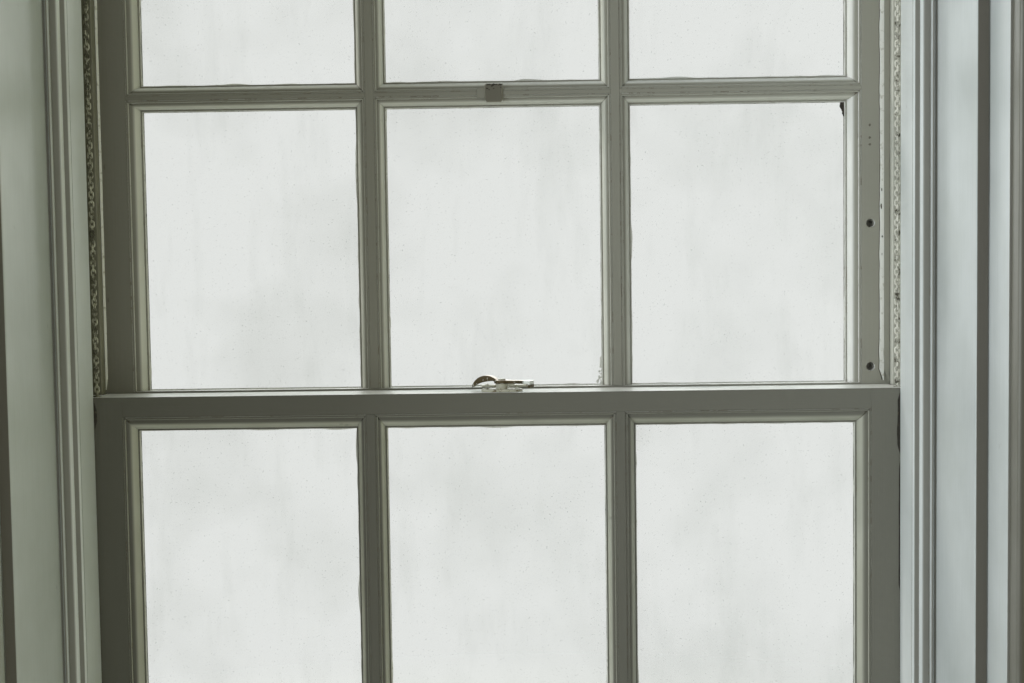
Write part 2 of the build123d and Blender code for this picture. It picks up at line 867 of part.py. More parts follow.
def lock_base():
    plate = extrude(SlotOverall(lock_plate_length, lock_plate_width), lock_plate_thickness)
    boss_top = lock_plate_thickness + lock_boss_height
    pin_top = lever_foot() + lever_thickness + lock_lift
    base = plate + Pos(0, 0, boss_top / 2) * Cylinder(lock_boss_radius, boss_top)
    base += Pos(0, 0, pin_top / 2) * Cylinder(lock_pin_radius, pin_top)
    base += Pos(0, 0, pin_top + lock_pin_head_height / 2) * Cylinder(lock_pin_head_radius,
                                                                     lock_pin_head_height)
    return base


def handle():
    # An arched arm, whose end dips towards the rail so that a thumb can push it round
    top = lever_foot() + lever_thickness
    foot = lever_foot()
    tip = -handle_reach
    root = -lock_pin_head_radius - lock_lift
    arch_foot = foot + handle_rise - handle_swell
    section = make_face([
        ThreePointArc((root, top), (tip / 2, top + handle_rise), (tip, top - handle_drop)),
        Line((tip, top - handle_drop), (tip, top - handle_drop - handle_tip_thickness)),
        ThreePointArc((tip, top - handle_drop - handle_tip_thickness),
                      (tip / 2, arch_foot), (root, foot)),
        Line((root, foot), (root, top)),
    ])
    return extrude(Plane.XZ * section, lever_arm_width / 2, both=True)


def lock_lever():
    foot = lever_foot()
    top = foot + lever_thickness
    arm = block((0, cam_reach - cam_band / 2), (-lever_arm_width / 2, lever_arm_width / 2), (foot, top))
    hub = Pos(0, 0, (foot + top) / 2) * Cylinder(lever_hub_radius, lever_thickness)
    cam = ring_sector(cam_reach - cam_band, cam_reach, foot, top, -cam_half_angle, cam_half_angle)
    lip = ring_sector(cam_reach - cam_lip_thickness, cam_reach, foot - cam_lip_drop, top,
                      -cam_half_angle, cam_half_angle)
    lever = hub + arm + cam + lip + handle()
    return lever - Cylinder(lock_pin_radius + axle_play, 4 * top)


def lock_keeper():
    # The lug is curved about the lever's pivot, so that the cam's lip draws the sashes together
    near = upper_face + keeper_set_back - lock_inset
    foot = meeting_step
    top = foot + keeper_thickness
    outer = cam_reach - cam_lip_thickness - lug_play
    middle = (lug_start_angle + lug_end_angle) / 2
    plate = extrude(Pos(0, near + keeper_width / 2, foot)
                    * RectangleRounded(keeper_length, keeper_width, keeper_width / 4), keeper_thickness)
    lug = ring_sector(outer - lug_thickness, outer, foot, top + lug_height, lug_start_angle,
                      lug_end_angle)
    lean = Pos(outer * cos(radians(middle)), 0, 0)
    return lean * plate + lug


def build_lock():
    place = Pos(lock_side, lock_inset, lower_top)
    return {
        "lock_base": place * lock_base(),
        "lock_lever": place * Rot(0, 0, cam_rest_angle) * lock_lever(),
        "lock_keeper": place * lock_keeper(),
    }


def main():
    groups = (build_frame(), build_lower_sash(), build_upper_sash(), build_balance(), build_lock())
    for parts in groups:
        for name, shapes in parts.items():
            solids = [solid for shape in as_list(shapes) for solid in shape.solids()]
            export_step(Compound(children=solids), "parts/" + name + ".step")


main()
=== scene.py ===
import math
import random
import bmesh
import bpy
from mathutils import Matrix, Vector, noise


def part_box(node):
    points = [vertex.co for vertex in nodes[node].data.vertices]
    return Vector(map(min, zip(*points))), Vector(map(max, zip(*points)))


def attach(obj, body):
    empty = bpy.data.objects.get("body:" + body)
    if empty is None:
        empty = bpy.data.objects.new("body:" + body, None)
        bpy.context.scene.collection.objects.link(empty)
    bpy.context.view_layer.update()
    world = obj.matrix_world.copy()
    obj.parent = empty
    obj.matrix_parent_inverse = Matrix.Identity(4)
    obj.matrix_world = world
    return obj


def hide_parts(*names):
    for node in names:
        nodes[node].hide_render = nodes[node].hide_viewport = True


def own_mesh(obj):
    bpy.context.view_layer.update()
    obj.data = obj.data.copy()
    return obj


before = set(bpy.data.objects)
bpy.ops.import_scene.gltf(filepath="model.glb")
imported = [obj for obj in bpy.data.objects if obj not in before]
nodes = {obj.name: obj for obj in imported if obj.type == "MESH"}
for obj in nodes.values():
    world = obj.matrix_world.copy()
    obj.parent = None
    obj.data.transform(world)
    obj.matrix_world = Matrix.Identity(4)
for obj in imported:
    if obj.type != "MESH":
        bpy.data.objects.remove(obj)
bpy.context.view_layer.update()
print("frame loaded:", len(nodes), "nodes")


# Small helpers for meshes and shader nodes

def newPiece(name, verts, faces, body, slotName, mat, smooth=True):
    mesh = bpy.data.meshes.new(name)
    mesh.from_pydata(verts, [], faces)
    mesh.validate()
    mesh.update()
    if smooth:
        mesh.polygons.foreach_set("use_smooth", [True] * len(mesh.polygons))
    piece = bpy.data.objects.new(name, mesh)
    bpy.context.scene.collection.objects.link(piece)
    mesh.materials.append(mat)
    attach(piece, body)
    return piece


def startMaterial(name):
    mat = bpy.data.materials.new(name)
    mat.use_nodes = True
    shader = mat.node_tree.nodes["Principled BSDF"]
    return mat, mat.node_tree, shader


def node(tree, kind, **values):
    made = tree.nodes.new("ShaderNode" + kind)
    for key, value in values.items():
        if key in made.inputs:
            made.inputs[key].default_value = value
        else:
            setattr(made, key, value)
    return made


def mathNode(tree, operation, first, second=0.0, clamp=False):
    made = tree.nodes.new("ShaderNodeMath")
    made.operation = operation
    made.use_clamp = clamp
    for socket, value in zip(made.inputs, (first, second)):
        if isinstance(value, (int, float)):
            socket.default_value = value
        else:
            tree.links.new(value, socket)
    return made.outputs[0]


def ramp(tree, source, low, high):
    # 0 below low, 1 above high; low may be the larger of the two
    made = tree.nodes.new("ShaderNodeMapRange")
    made.inputs["From Min"].default_value = low
    made.inputs["From Max"].default_value = high
    tree.links.new(source, made.inputs["Value"])
    return made.outputs[0]


def timesNode(tree, first, second):
    return mathNode(tree, "MULTIPLY", first, second)


def mixColour(tree, share, first, second):
    # Sockets 6 and 7 are the two colours, output 2 is their mix
    made = tree.nodes.new("ShaderNodeMix")
    made.data_type = "RGBA"
    for index, value in ((0, share), (6, first), (7, second)):
        if isinstance(value, (tuple, list)):
            made.inputs[index].default_value = (*value[:3], 1.0)
        elif isinstance(value, float):
            made.inputs[index].default_value = value
        else:
            tree.links.new(value, made.inputs[index])
    return made.outputs[2]


def noiseNode(tree, coords, scale, detail, rough, stretch=(1, 1, 1), offset=(0, 0, 0)):
    mapping = node(tree, "Mapping", Scale=stretch, Location=offset)
    tree.links.new(coords, mapping.inputs["Vector"])
    made = node(tree, "TexNoise", Scale=scale, Detail=detail, Roughness=rough)
    tree.links.new(mapping.outputs[0], made.inputs["Vector"])
    return made.outputs[0]


def axisNode(tree, source, axis):
    # One axis of a vector: 0 across, 1 outward, 2 upward
    made = node(tree, "SeparateXYZ")
    tree.links.new(source, made.inputs[0])
    return made.outputs[axis]


def seenByEye(tree):
    # 1 for what the camera sees, also through glass or in a reflection, and 0 for the light it gives
    rays = node(tree, "LightPath")
    seen = mathNode(tree, "MAXIMUM", rays.outputs["Is Camera Ray"], rays.outputs["Is Transmission Ray"])
    return mathNode(tree, "MAXIMUM", seen, rays.outputs["Is Glossy Ray"])


def addBump(tree, shader, height, strength, depth, under=None):
    made = node(tree, "Bump", Strength=strength, Distance=depth)
    tree.links.new(height, made.inputs["Height"])
    if under:
        tree.links.new(under, made.inputs["Normal"])
    tree.links.new(made.outputs[0], shader.inputs["Normal"])


# Paint: many coats of oil paint on softwood, brushed along each piece

paintLook = {
    "cloudScale": 7.0, "cloud": (0.38, 0.66),       # slow change between the two tones
    "brushAlong": 10.0, "brushAcross": 420.0,       # brush marks per metre, along and across the grain
    "brush": (0.5, 0.72), "brushShare": 0.35,
    "lumpScale": 90.0, "samples": 3,
    # crevices are darkened by ambient occlusion in the dirt colour: dirt and painted shade
    "creviceReach": 0.005, "creviceShade": (0.72, 0.25), "creviceShare": 0.35,
    "edgeRadius": 0.0011, "edge": (0.985, 0.86),
    "chipScale": 60.0, "chipShift": (3.1, 1.7, 0.4), "chip": (0.66, 0.70), "chipWear": 0.16, "chipBase": 0.25,
    "scuffScale": 26.0, "scuffShift": (0.3, 5.1, 2.2), "scuff": (0.72, 0.76), "scuffWear": 0.05,
    "scuffShare": 0.5,
    # upward faces painted lighter: painted highlight
    "ledge": (0.40, 0.75), "ledgeCloud": 0.3,
    "room": (-0.86, -0.98), "halfWidth": 0.42,      # which faces look into the room and take the painted shade
    "brushRough": 0.22, "chipRough": 0.3,
    "brushHeight": 0.6, "lumpHeight": 1.2, "bumpDepth": 0.0007,
}


def paintMaterial(name, grain, base, shade, dirt, bare, wear, grimeAndShade, rough, bump,
                  top=None, front=None, roomShadeRight=None):
    look = paintLook
    mat, tree, shader = startMaterial(name)
    link = tree.links.new
    coords = node(tree, "TexCoord").outputs["Object"]
    geometry = node(tree, "NewGeometry")

    along, across = look["brushAlong"], look["brushAcross"]
    stretch = {"z": (across, across, along), "x": (along, across, across)}[grain]
    brush = noiseNode(tree, coords, 1.0, detail=2.0, rough=0.6, stretch=stretch)
    cloud = noiseNode(tree, coords, look["cloudScale"], detail=3.0, rough=0.6)
    lumps = noiseNode(tree, coords, look["lumpScale"], detail=1.0, rough=0.5)

    # Ambient occlusion darkens the crevices: dirt and painted shade
    ambient = node(tree, "AmbientOcclusion", Distance=look["creviceReach"], samples=look["samples"])
    creviceShade = ramp(tree, ambient.outputs["AO"], *look["creviceShade"])
    bevel = node(tree, "Bevel", Radius=look["edgeRadius"], samples=look["samples"])
    dot = node(tree, "VectorMath", operation="DOT_PRODUCT")
    link(bevel.outputs[0], dot.inputs[0])
    link(geometry.outputs["True Normal"], dot.inputs[1])
    edge = ramp(tree, dot.outputs["Value"], *look["edge"])

    chipNoise = noiseNode(tree, coords, look["chipScale"], detail=2.0, rough=0.65, offset=look["chipShift"])
    chipRange = [level - look["chipWear"] * wear for level in look["chip"]]
    chip = timesNode(tree, edge, ramp(tree, chipNoise, *chipRange))
    scuffNoise = noiseNode(tree, coords, look["scuffScale"], detail=3.0, rough=0.72,
                           offset=look["scuffShift"])
    scuffRange = [level - look["scuffWear"] * wear for level in look["scuff"]]
    scuff = ramp(tree, scuffNoise, *scuffRange)

    tint = mixColour(tree, ramp(tree, cloud, *look["cloud"]), base, shade)
    brushed = timesNode(tree, ramp(tree, brush, *look["brush"]), look["brushShare"])
    tint = mixColour(tree, brushed, tint, shade)
    shadeAndGrimeAmount = mathNode(tree, "ADD", timesNode(tree, cloud, grimeAndShade), look["creviceShare"] * grimeAndShade)
    tint = mixColour(tree, mathNode(tree, "MULTIPLY", creviceShade, shadeAndGrimeAmount, True), tint, dirt)
    tint = mixColour(tree, timesNode(tree, scuff, look["scuffShare"] * wear), tint, dirt)
    if top:  # upward faces are painted whiter, as light from above falls on them: painted highlight
        upward = mathNode(tree, "ADD", axisNode(tree, geometry.outputs["Normal"], 2),
                          timesNode(tree, cloud, look["ledgeCloud"]))
        tint = mixColour(tree, ramp(tree, upward, *look["ledge"]), tint, top)
    if front:  # faces towards the room get painted shade, least so near the right, where more light falls
        toRight = ramp(tree, axisNode(tree, coords, 0), -look["halfWidth"], look["halfWidth"])
        roomShade = mixColour(tree, toRight, front, roomShadeRight or front)
        facing = ramp(tree, axisNode(tree, geometry.outputs["Normal"], 1), *look["room"])
        tint = mixColour(tree, facing, tint, roomShade)
    tint = mixColour(tree, timesNode(tree, chip, min(1.0, wear + look["chipBase"])), tint, bare)
    link(tint, shader.inputs["Base Color"])

    roughness = mathNode(tree, "ADD", timesNode(tree, brush, look["brushRough"]),
                         rough - look["brushRough"] / 2)
    link(mathNode(tree, "ADD", roughness, timesNode(tree, chip, look["chipRough"]), True),
         shader.inputs["Roughness"])
    height = mathNode(tree, "ADD", timesNode(tree, brush, look["brushHeight"]),
                      timesNode(tree, lumps, look["lumpHeight"]))
    addBump(tree, shader, height, bump, look["bumpDepth"], bevel.outputs[0])
    return mat


# The front colours are painted shade on faces towards the room, lighter towards the right; top is a painted
# highlight on upward faces
sashPaint = {
    "base": (0.72, 0.72, 0.66), "shade": (0.61, 0.61, 0.54), "dirt": (0.07, 0.065, 0.05),
    "bare": (0.16, 0.12, 0.08), "wear": 0.6, "grimeAndShade": 0.95, "rough": 0.5, "bump": 0.4,
    "top": (0.90, 0.90, 0.88), "front": (0.195, 0.19, 0.155), "roomShadeRight": (0.36, 0.355, 0.305),
}
trimPaint = {
    "base": (0.55, 0.575, 0.58), "shade": (0.48, 0.505, 0.50), "dirt": (0.12, 0.11, 0.09),
    "bare": (0.22, 0.18, 0.13), "wear": 0.3, "grimeAndShade": 0.7, "rough": 0.42, "bump": 0.2,
    "front": (0.25, 0.245, 0.22),
}
paintKinds = {
    "sash": sashPaint,
    "trim": trimPaint,
    # sunny: a whiter copy of the sash paint for the right-hand upper stile, painted light
    "sunny": dict(sashPaint, base=(0.93, 0.93, 0.91), shade=(0.84, 0.84, 0.81)),
    # lower: a darker copy of the sash paint for the lower sash, painted shade
    "lower": dict(sashPaint, base=(0.50, 0.50, 0.43), shade=(0.40, 0.40, 0.33),
                  front=(0.092, 0.090, 0.069), roomShadeRight=(0.180, 0.177, 0.148)),
    "hook": dict(sashPaint, base=(0.30, 0.29, 0.23), shade=(0.20, 0.19, 0.14), top=(0.42, 0.41, 0.35),
                 front=(0.14, 0.132, 0.10), roomShadeRight=None),
    # stop: a paler copy of the trim paint for the stops, painted light
    "stop": dict(trimPaint, base=(0.72, 0.745, 0.75), shade=(0.64, 0.665, 0.66)),
    # reveal: darker faces towards the room, painted shade
    "reveal": dict(trimPaint, front=(0.12, 0.11, 0.09)),
    # casing: a dark copy of the trim paint for the casings, painted shade
    "casing": dict(trimPaint, base=(0.16, 0.155, 0.13), shade=(0.13, 0.125, 0.10),
                   front=(0.095, 0.09, 0.075), grimeAndShade=0.9),
    # a darker copy of the sash paint for the channels the sashes run in, except on the right: painted shade
    "shadedChannel": dict(sashPaint, base=(0.25, 0.24, 0.18), shade=(0.17, 0.165, 0.12), top=None,
                    front=(0.19, 0.185, 0.14), roomShadeRight=None, grimeAndShade=1.1),
    # bright: a paler copy for the right-hand bead and pulley stile, painted light
    "bright": dict(sashPaint, base=(0.62, 0.62, 0.56), shade=(0.53, 0.53, 0.47), top=None,
                   front=(0.50, 0.495, 0.44), roomShadeRight=None, grimeAndShade=1.1),
    "outside": {"base": (0.52, 0.52, 0.46), "shade": (0.36, 0.36, 0.30), "dirt": (0.06, 0.055, 0.04),
                "bare": (0.20, 0.15, 0.10), "wear": 0.9, "grimeAndShade": 1.1, "rough": 0.6, "bump": 0.6},
}
paints = {}


def paintFor(kind, grain="z"):
    # Each paint is mixed the first time a piece asks for it, and brushed along x or z
    if (kind, grain) not in paints:
        name = kind + "Paint" + grain.upper()
        paints[kind, grain] = paintMaterial(name, grain, **paintKinds[kind])
    return paints[kind, grain]


# Bare softwood of the hidden box, with its year rings drawn out along the grain

woodLook = {
    "pale": (0.40, 0.28, 0.17), "dark": (0.26, 0.16, 0.09), "dust": (0.25, 0.21, 0.16),
    "ringStretch": (110, 110, 3.0), "rings": (0.40, 0.60),
    "fibreStretch": (900, 900, 14.0), "fibreRough": (-0.6, 1.3),
    "dustScale": 11.0, "dusting": (0.5, 0.8),
    "bump": 0.4, "bumpDepth": 0.0005,
}


def softwoodMaterial():
    look = woodLook
    mat, tree, shader = startMaterial("oldSoftwood")
    coords = node(tree, "TexCoord").outputs["Object"]
    rings = noiseNode(tree, coords, 1.0, detail=5.0, rough=0.6, stretch=look["ringStretch"])
    fibre = noiseNode(tree, coords, 1.0, detail=4.0, rough=0.7, stretch=look["fibreStretch"])
    dust = noiseNode(tree, coords, look["dustScale"], detail=5.0, rough=0.6)
    tint = mixColour(tree, ramp(tree, rings, *look["rings"]), look["pale"], look["dark"])
    tint = mixColour(tree, ramp(tree, dust, *look["dusting"]), tint, look["dust"])
    tree.links.new(tint, shader.inputs["Base Color"])
    tree.links.new(ramp(tree, fibre, *look["fibreRough"]), shader.inputs["Roughness"])
    addBump(tree, shader, fibre, look["bump"], look["bumpDepth"])
    return mat


# Metals: each is a mix of a clean and a worn or rusted state

metalLooks = {
    "castIron": {"clean": (0.10, 0.09, 0.085), "worn": (0.16, 0.075, 0.035), "metallic": 0.45,
                 "rough": 0.66, "scale": 38.0, "bump": 0.5, "low": 0.42, "high": 0.62},
    "wheelIron": {"clean": (0.20, 0.19, 0.18), "worn": (0.09, 0.07, 0.055), "metallic": 0.75,
                  "rough": 0.45, "scale": 60.0, "bump": 0.25, "low": 0.45, "high": 0.65},
    "chainSteel": {"clean": (0.60, 0.59, 0.47), "worn": (0.10, 0.095, 0.065), "metallic": 0.2,
                   "rough": 0.55, "scale": 95.0, "bump": 0.3, "low": 0.42, "high": 0.58,
                   "painted": (0.84, 0.83, 0.77)},
    "paintedPlate": {"clean": (0.50, 0.50, 0.43), "worn": (0.16, 0.12, 0.08), "metallic": 0.0,
                     "rough": 0.5, "scale": 45.0, "bump": 0.35, "low": 0.58, "high": 0.66},
    "lockPaint": {"clean": (0.72, 0.70, 0.60), "worn": (0.20, 0.15, 0.08), "metallic": 0.0,
                  "rough": 0.45, "scale": 150.0, "bump": 0.45, "low": 0.54, "high": 0.60},
}
metalDetail = {
    "samples": 4, "pitScale": 9, "pitRough": 0.25, "roughDrop": 0.12, "wornDepth": -0.7,
    "bumpDepth": 0.0004, "edgeRadius": 0.0005,
    "middle": (-0.01, 0.01), "covered": (0.62, 0.5),  # paler on the right-hand chain: paint caught from the brush, and painted light where daylight falls on that side
}


def metalMaterial(name):
    look, detail = metalLooks[name], metalDetail
    mat, tree, shader = startMaterial(name)
    coords = node(tree, "TexCoord").outputs["Object"]
    patches = noiseNode(tree, coords, look["scale"], detail=7.0, rough=0.62)
    pits = noiseNode(tree, coords, look["scale"] * detail["pitScale"], detail=3.0, rough=0.6)
    worn = ramp(tree, patches, look["low"], look["high"])
    tint = mixColour(tree, worn, look["clean"], look["worn"])
    if "painted" in look:
        toRight = ramp(tree, axisNode(tree, coords, 0), *detail["middle"])
        paleCover = timesNode(tree, toRight, ramp(tree, patches, *detail["covered"]))
        tint = mixColour(tree, paleCover, tint, look["painted"])
    tree.links.new(tint, shader.inputs["Base Color"])
    shader.inputs["Metallic"].default_value = look["metallic"]
    tree.links.new(mathNode(tree, "ADD", timesNode(tree, pits, detail["pitRough"]),
                            look["rough"] - detail["roughDrop"], True), shader.inputs["Roughness"])
    height = mathNode(tree, "ADD", timesNode(tree, worn, detail["wornDepth"]), pits)
    bevel = node(tree, "Bevel", Radius=detail["edgeRadius"], samples=detail["samples"])
    addBump(tree, shader, height, look["bump"], detail["bumpDepth"], bevel.outputs[0])
    return mat


# Brass of the lock's lever: bright on top, where thumbs wear it and light falls, a painted highlight; brown
# elsewhere, partly painted shade, and paint-flecked

brassLook = {
    "bright": (0.66, 0.56, 0.49), "brown": (0.085, 0.062, 0.028),
    "patchScale": 210.0, "patchLift": 0.7, "rubbedAndLitTop": (0.75, 1.15),
    "fleck": (0.75, 0.73, 0.66), "fleckScale": 330.0, "fleckShift": (1, 2, 3), "flecked": (0.60, 0.64),
    "fleckShare": 0.8,
    "knob": (0.78, 0.79, 0.76), "knobAcross": (0.029, 0.032), "knobHeight": (0.8375, 0.8390),
    "metallic": 0.55, "fleckMetallic": 0.5, "rough": 0.55, "rubbedRough": 0.2,
    "bump": 0.3, "bumpDepth": 0.0003,
}


def brassMaterial():
    look = brassLook
    mat, tree, shader = startMaterial("wornBrass")
    coords = node(tree, "TexCoord").outputs["Object"]
    upward = axisNode(tree, node(tree, "NewGeometry").outputs["Normal"], 2)
    patches = noiseNode(tree, coords, look["patchScale"], detail=5.0, rough=0.6)
    # Upward faces rubbed bright and lit from above: wear and painted highlight; the rest stays brown, partly
    # painted shade
    rubbedAndLitTop = ramp(tree, mathNode(tree, "ADD", upward, timesNode(tree, patches, look["patchLift"])),
                  *look["rubbedAndLitTop"])
    tint = mixColour(tree, rubbedAndLitTop, look["brown"], look["bright"])
    fleckNoise = noiseNode(tree, coords, look["fleckScale"], detail=4.0, rough=0.6, offset=look["fleckShift"])
    flecks = ramp(tree, fleckNoise, *look["flecked"])
    tint = mixColour(tree, timesNode(tree, flecks, look["fleckShare"]), tint, look["fleck"])
    knob = timesNode(tree, ramp(tree, axisNode(tree, coords, 0), *look["knobAcross"]),
                     ramp(tree, axisNode(tree, coords, 2), *look["knobHeight"]))
    tree.links.new(mixColour(tree, knob, tint, look["knob"]), shader.inputs["Base Color"])
    dull = timesNode(tree, flecks, look["fleckMetallic"])
    tree.links.new(mathNode(tree, "SUBTRACT", look["metallic"], dull, True), shader.inputs["Metallic"])
    tree.links.new(mathNode(tree, "SUBTRACT", look["rough"], timesNode(tree, rubbedAndLitTop, look["rubbedRough"])),
                   shader.inputs["Roughness"])
    addBump(tree, shader, patches, look["bump"], look["bumpDepth"])
    return mat


# Old drawn glass: clear, a little green and wavy, hazed with dust and wipe marks, and hazier at grazing
# angles, a painted reflection

glassLook = {
    "tint": (0.66, 0.70, 0.66), "rough": 0.12, "ior": 1.52, "haze": 0.03,
    "dustScale": 5.0, "dusty": (0.44, 0.78), "dust": 0.13,
    "wipeStretch": (26, 26, 6), "wiped": (0.52, 0.80), "wipes": 0.07,
    "speckScale": 520.0, "specked": (0.72, 0.76), "specks": 0.25,
    "rimBlend": 0.25, "rim": 0.7,
    "waveStretch": (9, 9, 4), "bump": 0.12, "bumpDepth": 0.002,
}


def glassMaterial():
    look = glassLook
    mat, tree, shader = startMaterial("oldGlass")
    coords = node(tree, "TexCoord").outputs["Object"]
    cloud = noiseNode(tree, coords, look["dustScale"], detail=3.0, rough=0.62)
    wipes = noiseNode(tree, coords, 1.0, detail=3.0, rough=0.65, stretch=look["wipeStretch"])
    specks = noiseNode(tree, coords, look["speckScale"], detail=1.0, rough=0.5)
    waves = noiseNode(tree, coords, 1.0, detail=1.0, rough=0.4, stretch=look["waveStretch"])
    shader.inputs["Base Color"].default_value = (*look["tint"], 1)
    shader.inputs["Roughness"].default_value = look["rough"]
    shader.inputs["IOR"].default_value = look["ior"]
    dusty = timesNode(tree, ramp(tree, cloud, *look["dusty"]), look["dust"])
    wiped = timesNode(tree, ramp(tree, wipes, *look["wiped"]), look["wipes"])
    spotted = timesNode(tree, ramp(tree, specks, *look["specked"]), look["specks"])
    # Hazier at grazing angles, in place of the glass's stronger reflection there: painted reflection
    fresnel = node(tree, "LayerWeight", Blend=look["rimBlend"]).outputs["Fresnel"]
    rim = timesNode(tree, fresnel, look["rim"])
    haze = mathNode(tree, "ADD", mathNode(tree, "ADD", dusty, wiped), look["haze"])
    tree.links.new(mathNode(tree, "ADD", mathNode(tree, "ADD", haze, spotted), rim, True),
                   shader.inputs["Alpha"])
    addBump(tree, shader, waves, look["bump"], look["bumpDepth"])
    return mat


# Putty outside the panes: painted over, cracked across and chalky

puttyLook = {
    "skin": (0.50, 0.50, 0.45), "chalk": (0.62, 0.60, 0.53), "crack": (0.10, 0.09, 0.07),
    "cloudScale": 18.0, "chalky": (0.35, 0.7), "cloudRough": (-0.8, 1.0),
    "crackScale": 48.0, "crackWidth": 0.035, "cracked": (0.45, 0.60),
    "bump": 0.5, "bumpDepth": 0.0008,
}


def puttyMaterial():
    look = puttyLook
    mat, tree, shader = startMaterial("oldPutty")
    coords = node(tree, "TexCoord").outputs["Object"]
    cloud = noiseNode(tree, coords, look["cloudScale"], detail=5.0, rough=0.6)
    cells = node(tree, "TexVoronoi", Scale=look["crackScale"], feature="DISTANCE_TO_EDGE")
    tree.links.new(coords, cells.inputs["Vector"])
    crack = timesNode(tree, ramp(tree, cells.outputs["Distance"], look["crackWidth"], 0.0),
                      ramp(tree, cloud, *look["cracked"]))
    skin = mixColour(tree, ramp(tree, cloud, *look["chalky"]), look["skin"], look["chalk"])
    tree.links.new(mixColour(tree, crack, skin, look["crack"]), shader.inputs["Base Color"])
    tree.links.new(ramp(tree, cloud, *look["cloudRough"]), shader.inputs["Roughness"])
    addBump(tree, shader, mathNode(tree, "SUBTRACT", cloud, crack), look["bump"], look["bumpDepth"])
    return mat


# Thick white paint in ridges and runs, and black for the dirt of a hundred winters and for painted shade and
# shadow

crustLooks = {
    "thickPaint": {"tint": (0.80, 0.80, 0.76), "low": (0.50, 0.49, 0.42), "scale": 160.0, "rough": 0.45,
                   "bump": 0.5},
    "stoppedHole": {"tint": (0.17, 0.16, 0.13), "low": (0.07, 0.06, 0.05), "scale": 300.0, "rough": 0.8,
                    "bump": 0.8},
    "oldDirtAndShade": {"tint": (0.035, 0.030, 0.024), "low": (0.11, 0.09, 0.06), "scale": 240.0, "rough": 0.9,
                "bump": 0.8},
}
crustDetail = {"sunken": (0.55, 0.70), "lumpRough": 0.2, "bumpDepth": 0.0004}


def crustMaterial(name):
    look, detail = crustLooks[name], crustDetail
    mat, tree, shader = startMaterial(name)
    coords = node(tree, "TexCoord").outputs["Object"]
    lumps = noiseNode(tree, coords, look["scale"], detail=5.0, rough=0.6)
    tree.links.new(mixColour(tree, ramp(tree, lumps, *detail["sunken"]), look["tint"], look["low"]),
                   shader.inputs["Base Color"])
    tree.links.new(mathNode(tree, "ADD", timesNode(tree, lumps, detail["lumpRough"]),
                            look["rough"] - detail["lumpRough"] / 2), shader.inputs["Roughness"])
    addBump(tree, shader, lumps, look["bump"], detail["bumpDepth"])
    return mat


softwood = softwoodMaterial()
thickPaint = crustMaterial("thickPaint")
oldDirtAndShade = crustMaterial("oldDirtAndShade")
stoppedHole = crustMaterial("stoppedHole")
metals = {name: metalMaterial(name) for name in metalLooks}
wornBrass = brassMaterial()
oldGlass = glassMaterial()
oldPutty = puttyMaterial()
print("materials made")


# Finish of each piece by its name: the first that fits counts, and paint comes last

paintByStart = {
    "sill": "outside", "outer_lining": "outside", "parting_bead_right": "bright",
    "pulley_stile_right": "bright", "parting": "shadedChannel", "pulley_stile": "shadedChannel", "head_jamb": "shadedChannel",
    "reveal_lining": "reveal", "casing_grounds": "trim", "casing": "casing", "inside_stop": "stop",
    "upper_stile_right": "sunny", "lower_": "lower", "upper_": "sash", "": "trim",
}
lyingPieces = ("rail", "head", "head_jamb", "cross_bars", "sill", "window_board")  # grain along x
finishByEnd = {
    "panes": oldGlass, "putty": oldPutty, "chains": metals["chainSteel"], "lock_lever": wornBrass,
    "pulley_frames": metals["paintedPlate"], "pocket_covers": softwood, "weight_dividers": softwood,
}
finishByWord = {
    "wheel": metals["wheelIron"], "sash_weight": metals["castIron"], "lock_": metals["lockPaint"],
    "back_lining": softwood,
}


def materialFor(name):
    for ending, mat in finishByEnd.items():
        if name.endswith(ending):
            return mat
    for word, mat in finishByWord.items():
        if word in name:
            return mat
    kind = next(paintByStart[start] for start in paintByStart if name.startswith(start))
    return paintFor(kind, "x" if name.endswith(lyingPieces) else "z")


for name, part in nodes.items():
    part.data.materials.clear()
    part.data.materials.append(materialFor(name))
print("finishes on the frame")


# Camera at the photograph's viewing angle

cameraPlace = {
    "spot": (0.0435, -1.638, 0.9825), "yaw": -0.0148, "pitch": 0.0587, "roll": 0.014,
    "focal": 52.66, "sensor": 36.0,
}


def makeCamera():
    yaw, pitch, roll = (cameraPlace[key] for key in ("yaw", "pitch", "roll"))
    level = Vector((math.sin(yaw), math.cos(yaw), 0))
    side = Vector((math.cos(yaw), -math.sin(yaw), 0))
    up = Vector((0, 0, 1))
    ahead = level * math.cos(pitch) - up * math.sin(pitch)
    lift = up * math.cos(pitch) + level * math.sin(pitch)
    right = side * math.cos(roll) - lift * math.sin(roll)
    top = side * math.sin(roll) + lift * math.cos(roll)
    data = bpy.data.cameras.new("roomCamera")
    data.lens, data.sensor_width = cameraPlace["focal"], cameraPlace["sensor"]
    camera = bpy.data.objects.new("roomCamera", data)
    bpy.context.scene.collection.objects.link(camera)
    turn = Matrix((right, top, -ahead)).transposed().to_4x4()
    camera.matrix_world = Matrix.Translation(cameraPlace["spot"]) @ turn
    bpy.context.scene.camera = camera


makeCamera()


# Soft light: daylight from outside on the left and above, and weaker fills from the room

